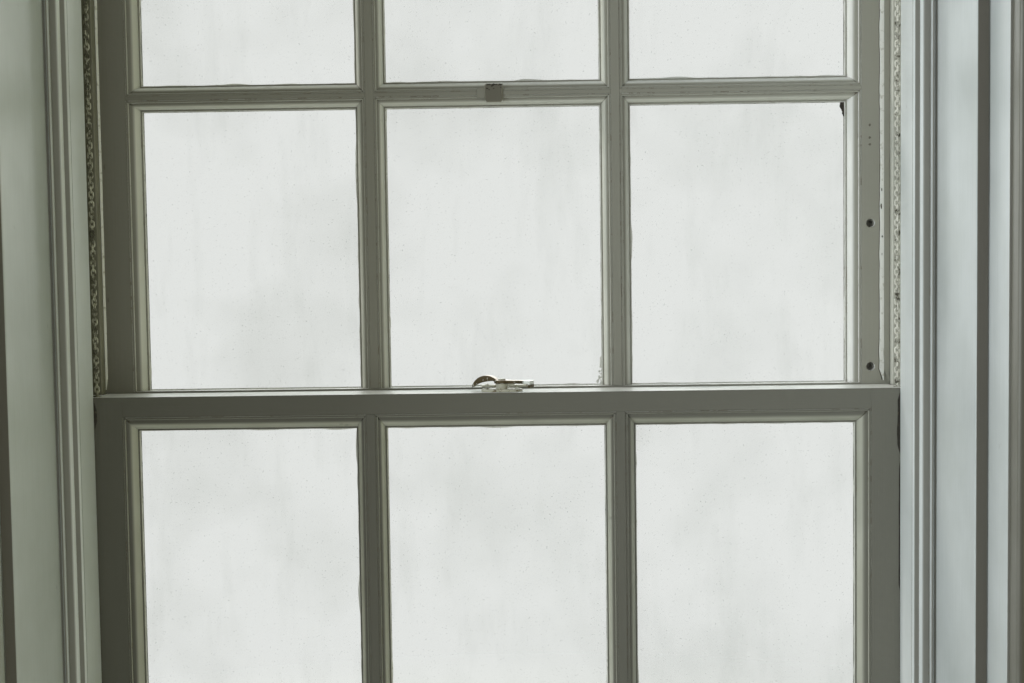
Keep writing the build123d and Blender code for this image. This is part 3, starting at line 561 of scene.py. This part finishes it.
lamps = {
    "sideSky": {"spot": (-3.6, 1.3, 3.0), "aim": (0.1, 0.0, 0.95), "size": 0.8, "power": 330,
                "tint": (1.0, 0.98, 0.93)},
    "openSky": {"spot": (0.0, 2.5, 1.9), "aim": (0, 0, 0.95), "size": 2.2, "power": 34,
                "tint": (0.95, 1.0, 0.97)},
    "roomFill": {"spot": (0.6, -3.4, 1.9), "aim": (0, 0, 0.9), "size": 3.2, "power": 9,
                 "tint": (1, 0.98, 0.94)},
    "leftBounce": {"spot": (-2.3, -1.15, 1.3), "aim": (0.4, 0, 0.95), "size": 1.2, "power": 48,
                   "tint": (0.89, 0.965, 1)},
    "rightBounce": {"spot": (2.4, -1.1, 1.3), "aim": (-0.4, 0, 0.95), "size": 1.2, "power": 9,
                    "tint": (0.96, 1.0, 0.26)},
}
backdrop = {"shown": (0.80, 0.82, 0.80), "lighting": (0.97, 0.99, 0.82), "lightStrength": 0.17}


def makeLamps():
    for name, lamp in lamps.items():
        data = bpy.data.lights.new(name, "AREA")
        data.size, data.energy, data.color = lamp["size"], lamp["power"], lamp["tint"]
        thing = bpy.data.objects.new(name, data)
        bpy.context.scene.collection.objects.link(thing)
        thing.location = lamp["spot"]
        aim = Vector(lamp["aim"]) - Vector(lamp["spot"])
        thing.rotation_euler = aim.to_track_quat("-Z", "Y").to_euler()


def makeBackdrop():
    world = bpy.data.worlds.new("paleRoom")
    bpy.context.scene.world = world
    world.use_nodes = True
    tree = world.node_tree
    tree.nodes.clear()
    lit = node(tree, "Background", Color=(*backdrop["lighting"], 1), Strength=backdrop["lightStrength"])
    shown = node(tree, "Background", Color=(*backdrop["shown"], 1))
    mix = node(tree, "MixShader")
    tree.links.new(seenByEye(tree), mix.inputs[0])
    tree.links.new(lit.outputs[0], mix.inputs[1])
    tree.links.new(shown.outputs[0], mix.inputs[2])
    tree.links.new(mix.outputs[0], node(tree, "OutputWorld").inputs[0])


makeLamps()
makeBackdrop()


# Pale floor that fades into the backdrop away from the window

floorLook = {
    "reach": 9.0, "rough": 0.9, "colour": (0.56, 0.57, 0.56),
    "far": (0.80, 0.82, 0.80), "fade": (0.7, 2.0),
}


def makeFloor():
    reach = floorLook["reach"]
    mesh = bpy.data.meshes.new("floor")
    mesh.from_pydata([(-reach, -reach, 0), (reach, -reach, 0), (reach, reach, 0), (-reach, reach, 0)], [],
                     [(0, 1, 2, 3)])
    floor = bpy.data.objects.new("floor", mesh)
    bpy.context.scene.collection.objects.link(floor)
    mat, tree, shader = startMaterial("paleFloor")
    shader.inputs["Base Color"].default_value = (*floorLook["colour"], 1)
    shader.inputs["Roughness"].default_value = floorLook["rough"]
    geometry = node(tree, "NewGeometry")
    distance = node(tree, "VectorMath", operation="LENGTH")
    tree.links.new(geometry.outputs["Position"], distance.inputs[0])
    fade = ramp(tree, distance.outputs["Value"], *floorLook["fade"])
    glow = node(tree, "Emission", Color=(*floorLook["far"], 1))
    mix = node(tree, "MixShader")
    tree.links.new(timesNode(tree, fade, seenByEye(tree)), mix.inputs[0])
    tree.links.new(shader.outputs[0], mix.inputs[1])
    tree.links.new(glow.outputs[0], mix.inputs[2])
    tree.links.new(mix.outputs[0], tree.nodes["Material Output"].inputs[0])
    mesh.materials.append(mat)


makeFloor()
print("camera, lights and floor")


# Sash chains: flat stamped links, each square to the next

chain = {
    "pitch": 0.0054, "width": 0.0067, "rim": 0.00092, "thick": 0.0006, "pathSteps": 14, "wireSteps": 6,
    "wheelRadius": 0.028, "twist": 5.0,                # most that a link is out of square, in degrees
    "lowerFoot": 0.640, "upperFoot": 0.800,            # where each chain is fixed to its sash
    "travel": 0.57,                                    # how far the upper sash comes down
}


def linkShape():
    half = chain["width"] / 2 - chain["rim"]
    straight = chain["pitch"] / 2 + chain["rim"] - half
    rows = []
    for step in range(chain["pathSteps"]):
        angle = 2 * math.pi * step / chain["pathSteps"]
        outward = Vector((math.cos(angle), 0, math.sin(angle)))
        middle = outward * half
        middle.z += straight if math.sin(angle) > 0 else -straight
        for turn in range(chain["wireSteps"]):
            tilt = 2 * math.pi * turn / chain["wireSteps"]
            rows.append(middle + outward * math.cos(tilt) * chain["rim"]
                        + Vector((0, math.sin(tilt) * chain["thick"], 0)))
    return rows


def linkFaces(start):
    around, wires = chain["pathSteps"], chain["wireSteps"]
    faces = []
    for step in range(around):
        after = (step + 1) % around
        for turn in range(wires):
            beside = (turn + 1) % wires
            faces.append((start + step * wires + turn, start + after * wires + turn,
                          start + after * wires + beside, start + step * wires + beside))
    return faces


def chainPlaces(side, wheel, foot):
    # Up from the sash and over the wheel: a place and a lean for each link
    radius, pitch = chain["wheelRadius"], chain["pitch"]
    near = side * (abs(wheel.x) - radius)
    below = [wheel.z - (number + 0.5) * pitch for number in range(int((wheel.z - foot) / pitch))]
    places = [(Vector((near, wheel.y, z)), 0.0) for z in reversed(below)]
    over = int(math.pi * radius / pitch)
    for number in range(over):
        angle = math.pi * (number + 0.5) / over
        spot = (wheel.x - side * radius * math.cos(angle), wheel.y, wheel.z + radius * math.sin(angle))
        places.append((Vector(spot), side * angle))
    return places


def weightPlaces(side, wheel, eye):
    # Down from the wheel to the eye of the weight
    far = side * (abs(wheel.x) + chain["wheelRadius"])
    return [(Vector((far, wheel.y, wheel.z - (number + 0.5) * chain["pitch"])), math.pi)
            for number in range(int((wheel.z - eye) / chain["pitch"]))]


def makeChain(name, runs):
    dice = random.Random(name)
    shape = linkShape()
    verts, faces = [], []
    for places in runs:
        for number, (spot, lean) in enumerate(places):
            quarter = math.pi / 2 if number % 2 else 0.0
            wobble = math.radians(dice.uniform(-1, 1) * chain["twist"])
            turn = Matrix.Rotation(lean, 4, "Y") @ Matrix.Rotation(quarter + wobble, 4, "Z")
            faces += linkFaces(len(verts))
            verts += [spot + turn @ point for point in shape]
    return newPiece(name, verts, faces, "window_frame", "chain_steel", metals["chainSteel"])


def makeChains(sash, foot):
    sides = []
    for side, word in ((-1, "left"), (1, "right")):
        low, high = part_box(sash + "_pulley_wheel_" + word)
        sides.append((side, (low + high) / 2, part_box(sash + "_sash_weight_" + word)[1].z))
    sashRun = makeChain(sash + "_chain_links", [chainPlaces(side, wheel, foot) for side, wheel, eye in sides])
    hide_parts(sash + "_sash_chains")
    weightRun = makeChain(sash + "_weight_chain_links", [weightPlaces(*place) for place in sides])
    if sash == "upper":  # its weights hang low and rise as the sash comes down; here its weight chains only get a mesh of their own
        side, wheel, eye = sides[0]
        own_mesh(weightRun)


makeChains("lower", chain["lowerFoot"])
makeChains("upper", chain["upperFoot"])
print("chains")


# Castings with the sharp edges taken off, cut finer from the frame's own forms

castings = {
    # Edge radius, body, finish slot
    "lock_lever": (0.0007, "lock_lever", "lock_brass"),
    "lock_base": (0.0007, "lower_sash", "painted_lock"),
    "lock_keeper": (0.0005, "upper_sash", "painted_lock"),
}
castEdges = {"weld": 1e-6, "flat": math.radians(1), "sharp": math.radians(35), "segments": 3}
leverArm = {"root": 0.010, "tip": 0.034, "deeper": 0.0032, "fullness": 0.8, "downward": -0.2}


def deepenArm(form):
    # The thumb piece is cast deeper in its middle than at its ends
    low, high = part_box("lock_base")
    pivot = (low + high) / 2
    form.normal_update()
    below = [vert for vert in form.verts if vert.normal.z < leverArm["downward"] and vert.co.x < pivot.x]
    for vert in below:
        away = math.hypot(vert.co.x - pivot.x, vert.co.y - pivot.y)
        share = (away - leverArm["root"]) / (leverArm["tip"] - leverArm["root"])
        if 0 < share < 1:
            vert.co.z -= leverArm["deeper"] * math.sin(math.pi * share) ** leverArm["fullness"]


def makeCasting(name, edge, body, slotName):
    form = bmesh.new()
    form.from_mesh(nodes[name].data)
    bmesh.ops.remove_doubles(form, verts=form.verts, dist=castEdges["weld"])
    if name == "lock_lever":
        deepenArm(form)
    bmesh.ops.dissolve_limit(form, angle_limit=castEdges["flat"], verts=form.verts, edges=form.edges)
    sharp = [e for e in form.edges if e.is_convex and e.calc_face_angle(0) > castEdges["sharp"]]
    bmesh.ops.bevel(form, geom=sharp, offset=edge, segments=castEdges["segments"], profile=0.5,
                    affect="EDGES", clamp_overlap=True)
    bmesh.ops.triangulate(form, faces=form.faces)
    verts = [tuple(v.co) for v in form.verts]
    faces = [tuple(v.index for v in f.verts) for f in form.faces]
    form.free()
    piece = newPiece(name + "_cast", verts, faces, body, slotName, nodes[name].data.materials[0])
    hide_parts(name)


for name, (edge, body, slotName) in castings.items():
    makeCasting(name, edge, body, slotName)


# Slotted round-head screws: two half domes with a slot between them

screw = {"rings": 4, "steps": 10, "slot": 0.14, "deep": 0.45, "rise": 0.42, "floorReach": 0.96,
         "floorShare": 0.5}


def screwMesh(radius, angle):
    verts, faces = [], []
    slot = radius * screw["slot"]
    for side in (-1, 1):
        start = len(verts)
        for ring in range(screw["rings"] + 1):
            share = ring / screw["rings"]
            for step in range(screw["steps"] + 1):
                turn = math.pi * step / screw["steps"]
                x = max(slot, radius * share * math.sin(turn))
                y = -radius * share * math.cos(turn)
                gone = min(1.0, math.hypot(x, y) / radius)
                verts.append((side * x, y, radius * screw["rise"] * math.sqrt(1 - gone * gone)))
        wide = screw["steps"] + 1
        for ring in range(screw["rings"]):
            for step in range(screw["steps"]):
                a = start + ring * wide + step
                faces.append((a, a + 1, a + wide + 1, a + wide)[::side])
        wall = len(verts)
        for step in range(2 * screw["rings"] + 1):
            y = radius * (step / screw["rings"] - 1)
            gone = min(1.0, math.hypot(slot, y) / radius)
            top = radius * screw["rise"] * math.sqrt(1 - gone * gone)
            verts += [(side * slot, y, top), (side * slot, y, top * (1 - screw["deep"]))]
        for step in range(2 * screw["rings"]):
            a = wall + 2 * step
            faces.append((a, a + 1, a + 3, a + 2)[::side])
    floor = radius * screw["rise"] * (1 - screw["deep"])
    start = len(verts)
    reach = radius * screw["floorReach"]
    inner = reach * screw["floorShare"]
    verts += [(-slot, -reach, 0), (slot, -reach, 0), (slot, reach, 0), (-slot, reach, 0),
              (-slot, -inner, floor), (slot, -inner, floor), (slot, inner, floor), (-slot, inner, floor)]
    faces += [(start, start + 1, start + 5, start + 4), (start + 4, start + 5, start + 6, start + 7),
              (start + 7, start + 6, start + 2, start + 3)]
    spin = Matrix.Rotation(angle, 4, "Z")
    return [spin @ Vector(v) for v in verts], faces


def makeScrews(name, places, radius, facing, body, slotName, mat):
    # facing turns the screws' own +Z outward from the wood
    dice = random.Random(name)
    verts, faces = [], []
    for place in places:
        got, flat = screwMesh(radius, dice.uniform(0, math.pi))
        faces += [tuple(index + len(verts) for index in face) for face in flat]
        verts += [Vector(place) + facing @ v for v in got]
    newPiece(name, verts, faces, body, slotName, mat)


screwPlaces = {
    "base": {"reach": 0.0165, "up": 0.0025, "radius": 0.0034},
    "keeper": {"reach": 0.022, "in": 0.0058, "up": 0.002, "radius": 0.0026},
    "plate": {"reach": 0.050, "radius": 0.0028},
}


def screwLock():
    upright = Matrix.Identity(4)
    place = screwPlaces["base"]
    low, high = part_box("lock_base")
    middle = (low + high) / 2
    spots = [(middle.x + s * place["reach"], middle.y, low.z + place["up"]) for s in (-1, 1)]
    makeScrews("lock_base_screws", spots, place["radius"], upright, "lower_sash", "painted_lock",
               metals["lockPaint"])
    place = screwPlaces["keeper"]
    low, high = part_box("lock_keeper")
    middle = (low + high) / 2
    spots = [(middle.x + s * place["reach"], low.y + place["in"], low.z + place["up"]) for s in (-1, 1)]
    makeScrews("lock_keeper_screws", spots, place["radius"], upright, "upper_sash", "painted_lock",
               metals["lockPaint"])


def screwPulleys(side, word):
    place = screwPlaces["plate"]
    jamb = min(abs(c.x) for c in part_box("pulley_stile_" + word))
    spots = []
    for sash in ("lower", "upper"):
        low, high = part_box(sash + "_pulley_wheel_" + word)
        middle = (low + high) / 2
        spots += [(side * jamb, middle.y, middle.z + s * place["reach"]) for s in (-1, 1)]
    inward = Matrix.Rotation(-side * math.pi / 2, 4, "Y")
    makeScrews("pulley_screws_" + word, spots, place["radius"], inward, "window_frame", "pulley_plate",
               metals["paintedPlate"])


screwLock()
screwPulleys(-1, "left")
screwPulleys(1, "right")
print("lock and screws")


# Paint that ran over the edges of the panes, on the room side

smear = {
    "step": 0.004, "least": 0.0005, "most": 0.0016, "power": 2.2, "lift": 0.00015, "climb": 0.4,
    "wave": 60, "seedShift": (9.7, 3.1), "runs": 0.005, "runWave": 0.3, "runFrom": 0.3,
    "runShift": (7, 3, 1), "upperSeed": 10,
}
# The openings of a sash: clear size, bars between them, and their count
lights = {"across": 0.242, "high": 0.316, "barX": 0.033, "barZ": 0.028, "columns": 3, "rows": 2}


def lightMiddle(sash, column, row):
    # Columns from the left, rows from the foot
    low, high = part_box(sash + "_panes")
    aside = column - (lights["columns"] - 1) / 2
    above = row - (lights["rows"] - 1) / 2
    return Vector(((low.x + high.x) / 2 + aside * (lights["across"] + lights["barX"]), low.y,
                   (low.z + high.z) / 2 + above * (lights["high"] + lights["barZ"])))


def smearWidth(px, pz, seed):
    point = Vector((px * smear["wave"] + seed * smear["seedShift"][0], pz * smear["wave"],
                    seed * smear["seedShift"][1]))
    ragged = 0.5 + 0.5 * noise.noise(point)
    run = max(0.0, noise.noise(point * smear["runWave"] + Vector(smear["runShift"])) - smear["runFrom"])
    return smear["least"] + smear["most"] * ragged ** smear["power"] + smear["runs"] * run


def smearMesh(middle, seed):
    # A ragged fillet that climbs from the glass up the wood
    half = (lights["across"] / 2, lights["high"] / 2)
    corners = [(-half[0], -half[1]), (half[0], -half[1]), (half[0], half[1]), (-half[0], half[1])]
    verts = []
    for index, (ax, az) in enumerate(corners):
        bx, bz = corners[(index + 1) % 4]
        steps = int(math.hypot(bx - ax, bz - az) / smear["step"])
        for step in range(steps):
            px = ax + (bx - ax) * step / steps
            pz = az + (bz - az) * step / steps
            width = smearWidth(px, pz, seed)
            inX = max(-half[0] + width, min(half[0] - width, px))
            inZ = max(-half[1] + width, min(half[1] - width, pz))
            verts.append((middle.x + px, middle.y - smear["lift"] - smear["climb"] * width, middle.z + pz))
            verts.append((middle.x + inX, middle.y - smear["lift"], middle.z + inZ))
    count = len(verts)
    return verts, [(a, a + 1, (a + 3) % count, (a + 2) % count) for a in range(0, count, 2)]


def makeSmears(sash):
    verts, faces = [], []
    for column in range(lights["columns"]):
        for row in range(lights["rows"]):
            seed = column + lights["columns"] * row + (smear["upperSeed"] if sash == "upper" else 0)
            got, flat = smearMesh(lightMiddle(sash, column, row), seed)
            faces += [tuple(index + len(verts) for index in face) for face in flat]
            verts += got
    newPiece(sash + "_paint_smears", verts, faces, sash + "_sash", "painted_sash", thickPaint, False)


makeSmears("lower")
makeSmears("upper")


# Ridges of paint, a dark crack, and dark strips of painted shade beside the lower sash's edges: a straight
# edge on one side and a ragged one on the other

strip = {
    "step": 0.0025, "seedShift": 5.3, "wave": 17, "fineWave": 4.3, "fineShare": 0.5,
    "swellWave": 2.3, "swell": 0.2, "endSteps": 6, "endShare": 0.15,
}


def stripMesh(fixed, edge, back, front, foot, top, ragged, seed):
    verts, faces = [], []
    swell = (back - front) * strip["swell"]
    count = int((top - foot) / strip["step"])
    for number in range(count + 1):
        z = foot + (top - foot) * number / count
        point = Vector((seed * strip["seedShift"], z * strip["wave"], seed))
        shift = noise.noise(point) + strip["fineShare"] * noise.noise(point * strip["fineWave"])
        fade = min(1.0, strip["endShare"] + min(number, count - number) / strip["endSteps"])
        reach = fixed + (edge - fixed + ragged * shift) * fade
        face = front + swell * noise.noise(point * strip["swellWave"])
        verts += [(fixed, face, z), (fixed + (reach - fixed) * 0.5, face + swell, z), (reach, back, z)]
    for a in range(0, 3 * count, 3):
        faces += [(a, a + 1, a + 4, a + 3), (a + 1, a + 2, a + 5, a + 4)]
    return verts, faces


ridges = {
    # Straight edge, ragged edge, back, front, foot, top, raggedness, seed, body, finish
    "bead_paint_shelf_right":
        (0.4428, 0.4362, 0.0482, 0.0480, 0.8345, 1.530, 0.0004, 3, "window_frame", "sash"),
    "bead_paint_ridge_right":
        (0.4366, 0.4320, 0.04955, 0.0480, 0.8345, 1.530, 0.0012, 3, "window_frame", "thick"),
    "bead_crack_right":
        (0.4350, 0.4313, 0.04968, 0.04962, 0.8345, 1.530, 0.0012, 3, "upper_sash", "dirt"),
    "bead_paint_ridge_left":
        (-0.4428, -0.4404, 0.04955, 0.0480, 0.8345, 1.530, 0.0004, 3, "window_frame", "thick"),
    # dark strips on the lower sash beside the stops, painted shade of the gap
    "gap_shade_corner_right":
        (0.4445, 0.4392, -0.00008, -0.0002, 0.755, 0.8295, 0.0018, 5, "lower_sash", "dirt"),
    "gap_shade_corner_left":
        (-0.4445, -0.4405, -0.00008, -0.0002, 0.790, 0.8295, 0.0012, 5, "lower_sash", "dirt"),
    "gap_shade_edge_right":
        (0.4445, 0.4418, -0.00008, -0.0002, 0.600, 0.755, 0.0006, 5, "lower_sash", "dirt"),
}


def makeRidges():
    finishes = {"thick": thickPaint, "dirt": oldDirtAndShade, "sash": paintFor("sash")}
    for name, (*sizes, body, finish) in ridges.items():
        newPiece(name, *stripMesh(*sizes), body, "painted_sash", finishes[finish])


makeRidges()


# Small marks on the right-hand upper stile and at the panes' corners

marks = {
    "stileFace": 0.0497, "nailX": 0.4211, "nailHeights": (1.120, 1.106, 1.0985), "nailRadius": 0.0014,
    "leftChips": ((-0.4375, 1.086), (-0.4375, 0.936)), "leftRadius": 0.0010, "leftTall": 3.4,
    "seed": 5, "chips": 9, "chipX": (0.4330, 0.4350), "chipRange": (0.90, 1.50), "chipRaise": 0.0018,
    "chipRadius": (0.0003, 0.0007), "chipTall": (1.5, 5.0),
}
blob = {"points": 11, "lift": 0.0002, "rimLift": 0.4, "ragged": 0.45, "wave": 1.7, "seedShift": 3.3}


def blobMesh(middle, radius, tall, seed):
    # A low cap with a ragged rim, its middle lifted off the wood
    points, lift = blob["points"], blob["lift"]
    verts = [(middle.x, middle.y - lift, middle.z)]
    for step in range(points):
        angle = 2 * math.pi * step / points
        across, up = math.cos(angle), math.sin(angle)
        spot = Vector((across * blob["wave"], up * blob["wave"], seed * blob["seedShift"]))
        reach = 1 + blob["ragged"] * noise.noise(spot)
        verts.append((middle.x + radius * reach * across, middle.y - lift * blob["rimLift"],
                      middle.z + radius * tall * reach * up))
    return verts, [(0, 1 + step, 1 + (step + 1) % points) for step in range(points)]


def makeBlobs(name, blobs, body, mat):
    verts, faces = [], []
    for seed, (middle, radius, tall) in enumerate(blobs):
        got, flat = blobMesh(Vector(middle), radius, tall, seed + len(name))
        faces += [tuple(index + len(verts) for index in face) for face in flat]
        verts += got
    newPiece(name, verts, faces, body, "painted_sash", mat)


def makeMarks():
    face = marks["stileFace"]
    holes = [((marks["nailX"], face, z), marks["nailRadius"], 1.0) for z in marks["nailHeights"]]
    holes += [((x, face, z), marks["leftRadius"], marks["leftTall"]) for x, z in marks["leftChips"]]
    makeBlobs("small_chips", holes, "upper_sash", stoppedHole)
    dice = random.Random(marks["seed"])
    chips = []
    for _ in range(marks["chips"]):
        spot = (dice.uniform(*marks["chipX"]), face - marks["chipRaise"], dice.uniform(*marks["chipRange"]))
        chips.append((spot, dice.uniform(*marks["chipRadius"]), dice.uniform(*marks["chipTall"])))
    makeBlobs("ridge_chips", chips, "window_frame", oldDirtAndShade)


makeMarks()

cornerDirt = {
    "light": (2, 0), "blobs": 7, "fromEdge": 0.0012, "spread": 0.003, "fromTop": 0.002, "drop": 0.016,
    "radius": 0.0030, "largest": 1.15, "tall": 1.3,
}
flake = {
    "light": (1, 0), "count": 26, "gather": 1.4, "high": 0.030, "reach": 0.006, "fromEdge": 0.0008,
    "fromFoot": 0.001, "radius": (0.0007, 0.0019), "tall": (0.7, 1.8),
}
cornerSeed = 21


def makeCorners():
    # Black dirt in the top corner of the right-hand pane, and flakes at the foot of the middle one
    dice = random.Random(cornerSeed)
    pane = lightMiddle("upper", *cornerDirt["light"])
    edge, top = pane.x + lights["across"] / 2, pane.z + lights["high"] / 2
    dirt = []
    for number in range(cornerDirt["blobs"]):
        share = number / cornerDirt["blobs"]
        inward = cornerDirt["fromEdge"] + cornerDirt["spread"] * (1 - share) * dice.random()
        down = cornerDirt["fromTop"] + cornerDirt["drop"] * share
        dirt.append(((edge - inward, pane.y, top - down),
                     cornerDirt["radius"] * (cornerDirt["largest"] - share), cornerDirt["tall"]))
    makeBlobs("corner_dirt", dirt, "upper_sash", oldDirtAndShade)
    pane = lightMiddle("upper", *flake["light"])
    edge, foot = pane.x + lights["across"] / 2, pane.z - lights["high"] / 2
    flakes = []
    for number in range(flake["count"]):
        share = dice.random() ** flake["gather"]
        inward = flake["fromEdge"] + flake["reach"] * (1 - share) * dice.random()
        up = flake["fromFoot"] + flake["high"] * share
        flakes.append(((edge - inward, pane.y, foot + up),
                       dice.uniform(*flake["radius"]), dice.uniform(*flake["tall"])))
    makeBlobs("peeling_flakes", flakes, "upper_sash", thickPaint)


makeCorners()
print("paint ridges, chips and dirt")


# Old hook plate, buried under coats of paint

plate = {
    "x": 0.002, "high": 1.162, "half": 0.0104, "thick": 0.0020, "face": 0.0497, "steps": 18,
    "rimSteps": 2.2, "corner": 12, "rimFall": 30,      # powers: finer steps, squarer corners, steeper rim
    "level": 0.975, "lump": 0.04, "lumpWave": 2.3, "lumpShift": 4.0,
}
plateShadowAndDirt = {
    "seed": 8, "count": 26, "half": 0.95, "across": 0.9, "raise": 0.00192,
    "topEdge": (0.10, 0.10), "face": (0.2, 0.5), "each": 4,
    "radius": (0.0006, 0.0013), "tall": 0.8,
}


def makeHookPaint():
    # A pillow with rounded corners, finer towards its rim, where its thickness falls to nothing
    steps, corner = plate["steps"], plate["corner"]
    shares = [2 * step / steps - 1 for step in range(steps + 1)]
    shares = [math.copysign(1 - (1 - abs(share)) ** plate["rimSteps"], share) for share in shares]
    verts, faces = [], []
    for v in shares:
        for u in shares:
            out = max(abs(u), abs(v))
            rim = (abs(u) ** corner + abs(v) ** corner) ** (1 / corner)
            squeeze = out / rim if rim else 1.0
            spot = Vector((u * plate["lumpWave"], v * plate["lumpWave"], plate["lumpShift"]))
            lumpy = plate["level"] + plate["lump"] * noise.noise(spot)
            thick = plate["thick"] * (1 - out ** plate["rimFall"]) * lumpy
            verts.append((plate["x"] + plate["half"] * u * squeeze, plate["face"] - thick,
                          plate["high"] + plate["half"] * v * squeeze))
    for row in range(steps):
        for column in range(steps):
            a = row * (steps + 1) + column
            faces.append((a, a + 1, a + steps + 2, a + steps + 1))
    newPiece("hook_plate_paint", verts, faces, "upper_sash", "painted_sash", paintFor("hook", "x"))


def makeHookShadowAndDirt():
    # Painted shadow along the plate's top edge, and dirt lower on its face at every fourth spot
    dice = random.Random(plateShadowAndDirt["seed"])
    dirt = []
    for number in range(plateShadowAndDirt["count"]):
        across = dice.uniform(-plateShadowAndDirt["half"], plateShadowAndDirt["half"]) * plateShadowAndDirt["across"]
        least, more = plateShadowAndDirt["topEdge"] if number % plateShadowAndDirt["each"] else plateShadowAndDirt["face"]
        drop = least + more * dice.random()
        spot = (plate["x"] + plate["half"] * across, plate["face"] - plateShadowAndDirt["raise"],
                plate["high"] + plate["half"] * (1 - drop))
        dirt.append((spot, dice.uniform(*plateShadowAndDirt["radius"]), plateShadowAndDirt["tall"]))
    makeBlobs("hook_plate_dirt", dirt, "upper_sash", oldDirtAndShade)


makeHookPaint()
makeHookShadowAndDirt()
print("hook plate")

bpy.context.scene.view_settings.view_transform = "Standard"
